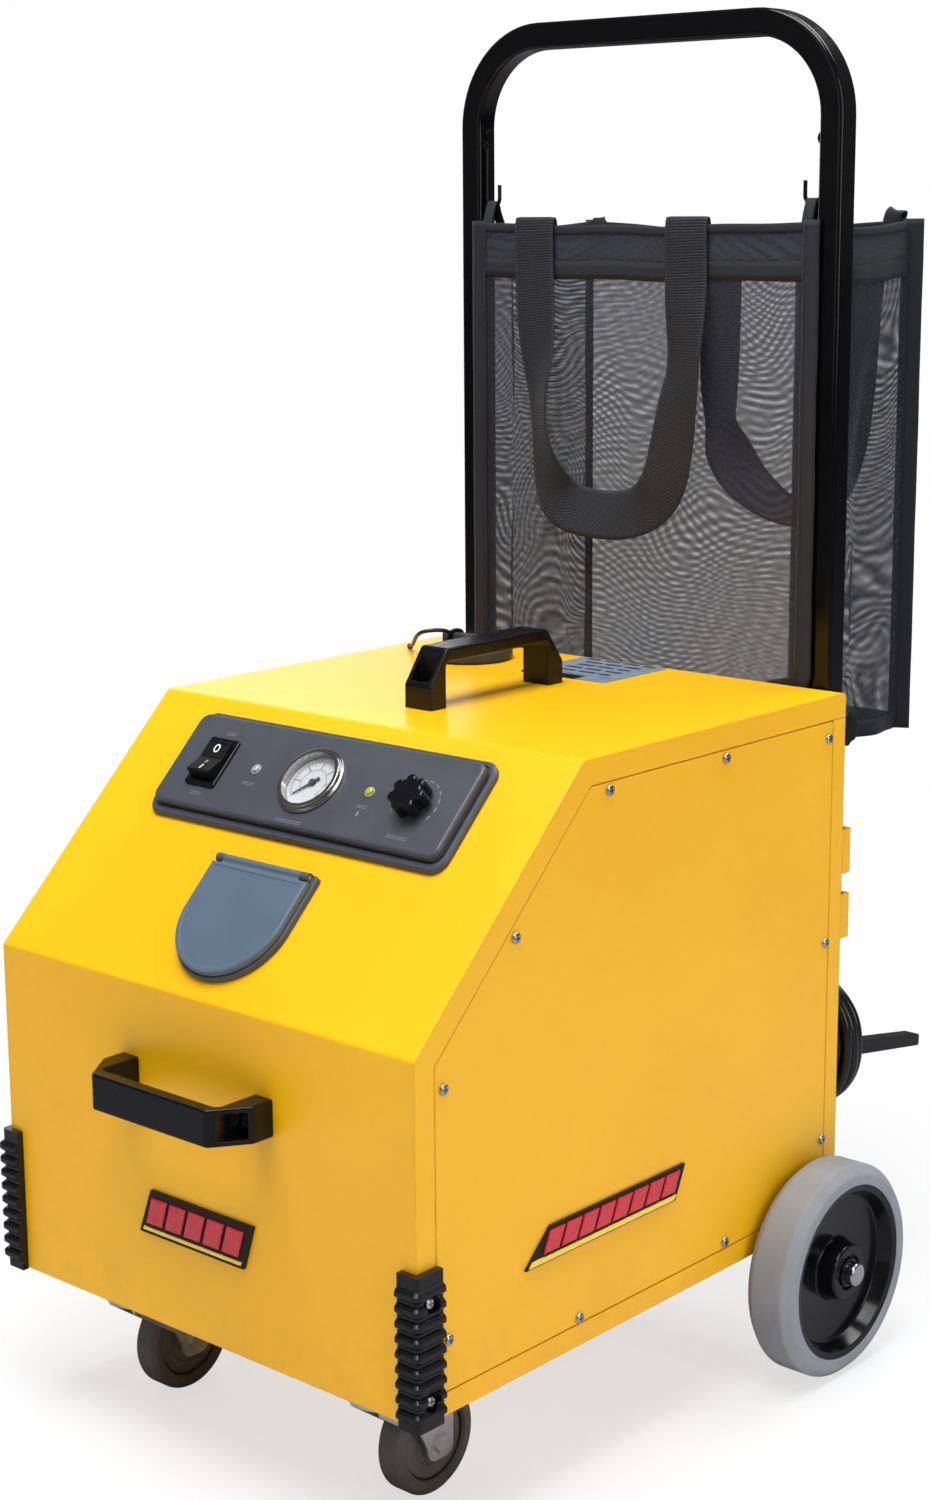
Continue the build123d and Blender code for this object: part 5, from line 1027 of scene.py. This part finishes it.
def folds(wall, share, height):
    """How far the cloth stands out of its flat place, share of the way across the wall."""
    rise = rise_at(height)
    edge = math.sin(math.pi * share) ** 0.8 if 0 < share < 1 else 0.0
    if wall == FRONT:
        wave = (1.2 * math.sin(5.1 * share + 2.0) * math.sin(3.0 * rise + 0.4)
                + 1.0 * math.sin(9 * share + 5 * rise))
        return edge * (0.6 * wave - 1.5) * ease((1 - rise) / 0.2)
    if wall == REAR:
        wave = (-5.0 * math.sin(math.pi * rise) + 1.5 * math.sin(6.3 * share + 4 * rise)
                + 0.9 * math.sin(13 * share - 7 * rise))
        return edge * wave * ease((1 - rise) / 0.15)
    # the gussets fold in on themselves
    crease = (share - 0.62 - 0.10 * math.sin(3 * rise)) / 0.13
    deep = (-14.0 * math.exp(-crease ** 2) * ease((1 - rise) / 0.30)
            * (0.35 + 0.65 * ease((1 - rise) / 0.5)))
    phase = 0.2 if wall == RIGHT else 0.55
    wave = (3.4 * math.sin(2 * math.pi * (share * 1.6 + rise * 1.2 + phase))
            * ease((1 - rise) / 0.25))
    fine = 1.0 * math.sin(2 * math.pi * (share * 4.0 - rise * 3.0)) * ease((1 - rise) / 0.2)
    return edge * (deep + wave + fine) * ease((share - 0.18) / 0.2)


def wall_point(wall, i, height):
    """x and depth of a wall's i-th column."""
    share = i / WALL_STEPS[wall]
    if wall == LEFT:
        point = gusset(height)[WALL_STEPS[LEFT] - i]
        return -(point.x + folds(LEFT, 1 - share, height)), point.y
    out = folds(wall, share, height)
    if wall == FRONT:
        half = front_half(height)
        return -half + 2 * half * share, FRONT_D - out * (0.25 if out < 0 else 0.1)
    if wall == REAR:
        return REAR_HALF - 2 * REAR_HALF * share, REAR_D + out
    point = gusset(height)[i]
    return point.x + out, point.y


def hung(wall, share, height):
    """Height once the cloth hangs between its corners, most at the top edge."""
    arch = math.sin(math.pi * share)
    if wall == FRONT:
        dip = -2.6 * arch + 0.8 * math.sin(6 * math.pi * share) * arch
    elif wall == REAR:
        dip = -6.5 * arch ** 1.2 + 1.0 * math.sin(5 * math.pi * share) * arch
    else:
        dip = -4.5 * arch
    return height + dip * ease((rise_at(height) - 0.25) / 0.75)


def on_wall(wall, share, height, out):
    """Point standing out of a wall by out, and the wall's outward direction."""
    steps = WALL_STEPS[wall]
    place = share * steps
    i = min(steps - 1, int(place))
    x0, depth0 = wall_point(wall, i, height)
    if i + 1 < steps:
        x1, depth1 = wall_point(wall, i + 1, height)
    else:
        x1, depth1 = wall_point((wall + 1) % 4, 0, height)
    run_x, run_d = x1 - x0, depth1 - depth0
    length = math.hypot(run_x, run_d) or 1.0
    normal_x, normal_d = run_d / length, -run_x / length
    x, depth = x0 + run_x * (place - i), depth0 + run_d * (place - i)
    point = at(x + normal_x * out, depth + normal_d * out, hung(wall, share, height))
    return point, Vector((normal_x, normal_d, 0))


columns = [(wall, i) for wall, steps in enumerate(WALL_STEPS) for i in range(steps)]
COLUMNS = len(columns)

# distance round the tote at mid height, in metres: the cloth's U coordinate
girth = []
travelled = 0.0
previous = None
for wall, i in columns:
    here = wall_point(wall, i, 560.0)
    if previous:
        travelled += math.hypot(here[0] - previous[0], here[1] - previous[1])
    previous = here
    girth.append(travelled / 1000.0)


def tote_net():
    """The bag itself: four walls with a hem band at the top, and a sagging bottom."""
    levels = [FOOT_H + (HEM_H - FOOT_H) * j / NET_ROWS for j in range(NET_ROWS + 1)]
    levels += [HEM_H + HEM * j / HEM_ROWS for j in range(1, HEM_ROWS + 1)]
    verts, uvs = [], []
    for height in levels:
        for (wall, i), u in zip(columns, girth):
            x, depth = wall_point(wall, i, height)
            verts.append(at(x, depth, hung(wall, i / WALL_STEPS[wall], height)))
            uvs.append((u, height / 1000.0))
    faces = ring_faces(len(levels), COLUMNS, caps=False)
    # slots: 0 net, 1 hem, 2 side net
    slots = [1 if j >= NET_ROWS else (2 if wall in (RIGHT, LEFT) else 0)
             for j in range(len(levels) - 1) for wall, _ in columns]

    foot = verts[:COLUMNS]
    centre = sum(foot, Vector()) / COLUMNS
    outer = 0
    for ring in range(1, BOTTOM_RINGS):
        share = 1 - ring / BOTTOM_RINGS
        inner = len(verts)
        for corner in foot:
            sag = Vector((0, 0, -BOTTOM_SAG * (1 - share * share)))
            point = centre.lerp(corner, share) + sag
            verts.append(point)
            uvs.append((0.2 + point.x, 0.2 + point.y))
        for k in range(COLUMNS):
            k2 = (k + 1) % COLUMNS
            faces.append((outer + k2, outer + k, inner + k, inner + k2))
        outer = inner
    verts.append(centre + Vector((0, 0, -BOTTOM_SAG)))
    uvs.append((0.3, 0.3))
    for k in range(COLUMNS):
        faces.append((outer + (k + 1) % COLUMNS, outer + k, len(verts) - 1))
    slots += [0] * (len(faces) - len(slots))

    made = new_object("tote_net", verts, faces, ["net", "hem_net", "net_side"],
                      uvs=uvs)
    for face, slot in zip(made.data.polygons, slots):
        face.material_index = slot
    cloth = made.modifiers.new("cloth", "SOLIDIFY")
    cloth.thickness = 0.0005
    cloth.offset = 0.0
    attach(made, "tote")
    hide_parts("bag")


tote_net()


# ---------------------------------------------------- tote tapes and their seams
def hem_band(name, low, high, thick, rows=3):
    """Tape all round the tote between two heights, on both faces of the cloth."""
    section = [(low + (high - low) * j / rows, thick / 2) for j in range(rows + 1)]
    section += [(high - (high - low) * j / rows, -thick / 2) for j in range(rows + 1)]
    around = len(section)
    verts, uvs, faces = [], [], []
    for (wall, i), u in zip(columns, girth):
        for height, out in section:
            point, _ = on_wall(wall, i / WALL_STEPS[wall], min(height, TOP_H), out)
            if height > TOP_H:
                point = point + Vector((0, 0, (height - TOP_H) / 1000))
            verts.append(point)
            uvs.append((u, height / 1000.0))
    for k in range(COLUMNS):
        this, following = k * around, (k + 1) % COLUMNS * around
        for j in range(around):
            j2 = (j + 1) % around
            faces.append((this + j, following + j, following + j2, this + j2))
    new_object(name, verts, faces, "binding_tape", "tote", uvs)


hem_band("tote_hem_tape", HEM_H - 8.5, HEM_H + 5.5, thick=1.6)
hem_band("tote_foot_tape", FOOT_H - 1.5, FOOT_H + 11.0, thick=1.5)
hem_band("tote_hem_top", TOP_H - 5.5, TOP_H + 1.2, thick=1.7)

STITCH, STITCH_GAP, THREAD_R = 0.0026, 0.0014, 0.00028      # metres


def stitches(name, path, normals):
    """Row of short arched stitches along a path, standing off it along the normals."""
    runs = run_lengths(path)
    verts, faces = [], []
    start = STITCH_GAP
    while start + STITCH < runs[-1]:
        points, facing = [], []
        for k in range(4):
            point, i = point_along(path, runs, start + STITCH * k / 3)
            lift = 0.0002 + 0.0003 * math.sin(math.pi * k / 3)
            points.append(point + normals[i] * lift)
            facing.append(normals[i])
        first = len(verts)
        for k in range(4):
            side = heading(points, k).cross(facing[k]).normalized()
            radius = THREAD_R * (0.55 if k in (0, 3) else 1.0)
            for corner in range(5):
                angle = 2 * math.pi * corner / 5
                verts.append(points[k] + facing[k] * (math.cos(angle) * radius)
                             + side * (math.sin(angle) * radius))
        faces += ring_faces(4, 5, first)
        start += STITCH + STITCH_GAP
    new_object(name, verts, faces, "sewing_thread", "tote")


for row, height in (("top", TOP_H - 7.0), ("low", HEM_H + 7.0)):
    for wall in range(4):
        seam = [on_wall(wall, 0.02 + 0.96 * i / 120, height, 0.9) for i in range(121)]
        stitches("tote_stitch_%s_%d" % (row, wall), *map(list, zip(*seam)))

FRONT_TAPE, REAR_TAPE = 13.5, 16.5      # widths of the corner bindings
BINDING_THICK = 0.0024
BINDING_LOW, BINDING_HIGH, BINDING_STEPS = FOOT_H - 1, TOP_H + 2.5, 90
binding_heights = [BINDING_LOW + (BINDING_HIGH - BINDING_LOW) * i / BINDING_STEPS
                   for i in range(BINDING_STEPS + 1)]
seam_heights = [FOOT_H + (TOP_H - FOOT_H) * i / 199 for i in range(200)]


def rear_wobble(height):
    return 0.6 * math.sin(height * 0.045 + 1) + 0.3 * math.sin(height * 0.11)


def binding(name, path, across, width):
    ribbon(name, path, across, width / 1000.0, BINDING_THICK, "binding_tape")


def front_binding(name, sign):
    """Tape lying flat over a front corner seam."""
    path = []
    for height in binding_heights:
        wobble = 0.5 * math.sin(height * 0.05) + 0.3 * math.sin(height * 0.13)
        x = front_half(height) + 3.4 - FRONT_TAPE / 2 + wobble * 0.4
        path.append(at(sign * x, FRONT_D - 0.7 + 0.2 * wobble, height))
    binding(name, path, [Vector((sign, 0.02, 0)).normalized()] * len(path), FRONT_TAPE)


def rear_binding(name, sign):
    """Tape folded round a rear corner seam, standing out slantwise from the corner."""
    off = REAR_TAPE / 2 - 4.0
    path, across = [], []
    for height in binding_heights:
        wobble = rear_wobble(height)
        path.append(at(sign * (REAR_HALF + off * 0.85), REAR_D + off * 0.53 + 0.3 * wobble,
                       height))
        across.append(Vector((sign * 0.85, 0.53 + 0.05 * wobble, 0)).normalized())
    binding(name, path, across, REAR_TAPE)


for make, corner in ((front_binding, "f"), (rear_binding, "r")):
    for side, sign in SIDES:
        make("tote_binding_" + corner + side[0], sign)
for side, sign in SIDES:
    seam = [at(sign * (front_half(height) - 7.6), FRONT_D - 2.0, height)
            for height in seam_heights]
    stitches("tote_stitch_binding_f" + side[0], seam, [Vector((0, -1, 0))] * len(seam))
for side, sign in SIDES:
    seam = [at(sign * (REAR_HALF + 3.1), REAR_D + 0.2 + 0.3 * rear_wobble(height), height)
            for height in seam_heights]
    stitches("tote_stitch_binding_r" + side[0], seam,
             [Vector((sign * 0.53, -0.85, 0))] * len(seam))

# ------------------------------------------------------------------ tote straps
STRAP_WIDTH, STRAP_THICK = 0.038, 0.0017
# stations of the webbing handles, each a U below the hem:
# x, depth from the wall, height, roll about the strap's own run in degrees
FRONT_STRAP = [
    (-98.6, 3.2, 700, 0), (-98.6, 2.9, 722, 0), (-98.6, 1.6, 735.5, 0),
    (-98.6, -1.6, 736.2, 0), (-98.4, -3.0, 724, 0), (-97.4, -3.6, 700, 0),
    (-94.6, -5.5, 668, 0), (-91.4, -7.5, 640, 8), (-89.2, -9.5, 622, 18),
    (-88.0, -11.0, 608, 27), (-86.6, -12.0, 590, 33), (-84.6, -12.0, 572, 32),
    (-80.6, -12.0, 554, 24), (-74.0, -12.0, 537.5, 8), (-66.5, -12.5, 526.5, -8),
    (-55.0, -12.5, 518.8, -18), (-40, -12.5, 515.2, -20), (-20, -12.5, 514.2, -18),
    (-2, -12.5, 515.4, -14), (14, -12.0, 520.2, -4), (27.0, -11.5, 529.5, 6),
    (35.5, -11.0, 543.5, 8), (41.2, -10.5, 566, 4), (45.2, -10.0, 592, -3),
    (47.6, -9.5, 608, -9), (49.2, -8.0, 622, -15), (50.0, -7.0, 640, -15),
    (49.9, -6.0, 660, -7), (49.0, -4.2, 686, 0), (48.3, -3.4, 706, 0),
    (47.6, -3.0, 724, 0), (47.4, -1.6, 736.2, 0), (47.4, 1.6, 735.5, 0),
    (47.4, 2.9, 722, 0), (47.4, 3.2, 700, 0),
]
REAR_STRAP = [
    (118, -3.6, 703, 0), (117.5, -8.5, 672, 0), (117, -11, 640, 0), (115, -14, 604, -8),
    (110, -16.5, 566, -14), (100, -18, 535, -6), (86, -19, 516, 40), (67, -19, 510.5, 68),
    (49, -18, 515, 66), (31.5, -17.5, 524.5, 58), (18, -17, 535, 48), (8, -17, 547, 30),
    (0, -17, 560, 10), (-5.5, -16.5, 577, -14), (-8.0, -15.5, 600, -6), (-9.2, -14.0, 630, 0),
    (-11.0, -10.5, 664, 0), (-13.3, -6.5, 690, 0), (-14.0, -3.6, 703, 0),
]


def strap(name, stations, wall_depth, facing):
    """Webbing handle lying against a wall; facing is the sign of the wall's outward Y."""
    path = catmull([at(x, wall_depth + off, height) for x, off, height, _ in stations])
    rolls = catmull([Vector((station[3], 0, 0)) for station in stations])
    level = []
    for i in range(len(path)):
        width_way = heading(path, i).cross(Vector((0, facing, 0)))
        # over the hem the run turns through the wall's normal, so the last direction is kept
        if width_way.length < 0.5:
            width_way = level[-1] if level else Vector((1, 0, 0))
        width_way.normalize()
        if level and width_way.dot(level[-1]) < 0:
            width_way = -width_way
        level.append(width_way)
    across = []
    for point, width_way, roll, i in zip(path, level, rolls, range(len(path))):
        # level near the hem, so that the fold over the edge stays straight
        near_hem = ease((point.z * 1000 - FLOOR_GAP - 700) / 18.0)
        flat = Vector((1 if width_way.x > 0 else -1, 0, 0))
        width_way = width_way.lerp(flat, near_hem).normalized()
        ahead = heading(path, i)
        angle = math.radians(roll.x)
        width_way = (width_way - ahead * width_way.dot(ahead)).normalized()
        across.append((width_way * math.cos(angle)
                       + ahead.cross(width_way) * math.sin(angle)).normalized())
    ribbon(name, path, across, STRAP_WIDTH, STRAP_THICK, "webbing_black", edge=0.6, cross=12)


strap("tote_strap_front", FRONT_STRAP, FRONT_D, facing=-1)
strap("tote_strap_rear", REAR_STRAP, REAR_D, facing=1)


def tape_loop(name, points, width, thick):
    path = catmull([at(*point) for point in points], 8)
    ribbon(name, path, [Vector((1, 0, 0))] * len(path), width, thick, "binding_tape")


# loops that hang the front corners on the hooks: share of LOOP_X, depth, height
LOOP_X = 150.4
HOOK_LOOP = [(1, 469.6, 718), (1, 470.0, 733), (1, 472.2, 742), (1, 474.6, 748.0),
             (1, 476.7, 750.2), (1, 478.9, 748.0), (1, 481.4, 741), (0.985, 483.2, 731),
             (0.97, 483.5, 716)]
for side, sign in SIDES:
    tape_loop("tote_loop_" + side,
              [(sign * LOOP_X * share, depth, height) for share, depth, height in HOOK_LOOP],
              width=0.009, thick=0.0011)

# loops folded over at the rear corners: x, lean, width in metres, top height
SPARE_LOOPS = [(138, 5.0, 0.016, 741.0), (-140, -3.0, 0.011, 736.5)]
for i, (x, lean, width, top) in enumerate(SPARE_LOOPS):
    # share of the lean, depth from the loop's middle, height
    stations = [(0, -1.8, 716), (0.2, -1.6, 729), (0.6, -1.2, top - 3), (1, 0.4, top),
                (0.8, 1.8, top - 3), (0.3, 1.8, 729), (0, 2.0, 716)]
    tape_loop("tote_spare_loop_%d" % i,
              [(x + lean * share, REAR_D - 1.0 + off, height)
               for share, off, height in stations], width, thick=0.0013)

# ---------------------------------------------------------------------- staging
FLOOR_RADII = [0.6, 1.2, 2.4, 5, 10, 20, 40]    # metres
FLOOR_SIDES = 96


def make_floor():
    """Round floor of rings about the origin."""
    verts = [Vector((0, 0, 0))]
    for radius in FLOOR_RADII:
        for i in range(FLOOR_SIDES):
            angle = 2 * math.pi * i / FLOOR_SIDES
            verts.append(Vector((radius * math.cos(angle), radius * math.sin(angle), 0)))
    faces = [(0, 1 + i, 1 + (i + 1) % FLOOR_SIDES) for i in range(FLOOR_SIDES)]
    for ring in range(len(FLOOR_RADII) - 1):
        inner = 1 + ring * FLOOR_SIDES
        outer = inner + FLOOR_SIDES
        for i in range(FLOOR_SIDES):
            j = (i + 1) % FLOOR_SIDES
            faces.append((inner + i, outer + i, outer + j, inner + j))
    new_object("floor", verts, faces, "floor_pale", smooth=False, outward=False)


def make_world():
    """White to the camera, dim to everything else."""
    world = bpy.data.worlds.new("studio")
    bpy.context.scene.world = world
    world.use_nodes = True
    tree = world.node_tree
    tree.nodes.clear()
    white = (1, 1, 1, 1)
    output = add_node(tree, "OutputWorld")
    seen = add_node(tree, "Background", {"Color": white, "Strength": 1.0})
    fill = add_node(tree, "Background", {"Color": white, "Strength": 0.13})
    path = add_node(tree, "LightPath")
    mixed = add_node(tree, "MixShader", {0: path.outputs["Is Camera Ray"],
                                         1: fill.outputs[0], 2: seen.outputs[0]})
    tree.links.new(mixed.outputs[0], output.inputs["Surface"])


# name, place, point it faces, width, height, watts
LIGHTS = [
    ("key_top", (0.1, -0.75, 3.0), (0, 0, 0.35), 1.9, 1.6, 100),
    ("back_top", (0.4, 1.6, 2.8), (0, 0.1, 0.4), 1.8, 1.2, 46),
    ("right_soft", (2.9, -0.5, 1.5), (0, 0.0, 0.35), 1.0, 2.0, 24),
    ("front_soft", (-0.9, -3.0, 1.2), (0, -0.2, 0.3), 1.3, 1.5, 5),
    ("left_strip", (-2.4, 0.6, 1.3), (0, 0.2, 0.6), 0.5, 2.0, 9),
    ("low_sheen", (-2.7, 1.9, 1.2), (0, 0.1, 0.5), 1.5, 0.8, 6),
]


def area_light(name, place, target, width, height, watts):
    light = bpy.data.lights.new(name, "AREA")
    light.shape = "RECTANGLE"
    light.size, light.size_y = width, height
    light.energy = watts
    lamp = bpy.data.objects.new(name, light)
    bpy.context.scene.collection.objects.link(lamp)
    lamp.location = place
    lamp.visible_camera = False
    aim = Vector(target) - Vector(place)
    lamp.rotation_euler = aim.to_track_quat("-Z", "Y").to_euler()


CAMERA_PLACE = (1.18635, -1.34377, 0.84502)
CAMERA_AZIMUTH, CAMERA_ELEVATION, CAMERA_ROLL = map(math.radians, (41.668, 12.036, -0.392))
CAMERA_LENS = 60.648


def make_camera():
    """Camera to the front right, looking down; azimuth is measured from -Y towards +X."""
    azimuth, elevation, roll = CAMERA_AZIMUTH, CAMERA_ELEVATION, CAMERA_ROLL
    back = Vector((math.sin(azimuth) * math.cos(elevation),
                   -math.cos(azimuth) * math.cos(elevation), math.sin(elevation)))
    level = Vector((math.cos(azimuth), math.sin(azimuth), 0))
    upright = back.cross(level)
    right = level * math.cos(roll) + upright * math.sin(roll)
    top = -level * math.sin(roll) + upright * math.cos(roll)
    data = bpy.data.cameras.new("camera")
    camera = bpy.data.objects.new("camera", data)
    bpy.context.scene.collection.objects.link(camera)
    turn = Matrix((right, top, back)).transposed()
    camera.matrix_world = Matrix.Translation(CAMERA_PLACE) @ turn.to_4x4()
    data.sensor_width = 36.0
    data.lens = CAMERA_LENS
    data.clip_start, data.clip_end = 0.05, 100.0
    bpy.context.scene.camera = camera


make_floor()
make_world()
for row in LIGHTS:
    area_light(*row)
make_camera()
bpy.context.scene.view_settings.view_transform = "Standard"

bpy.context.view_layer.update()
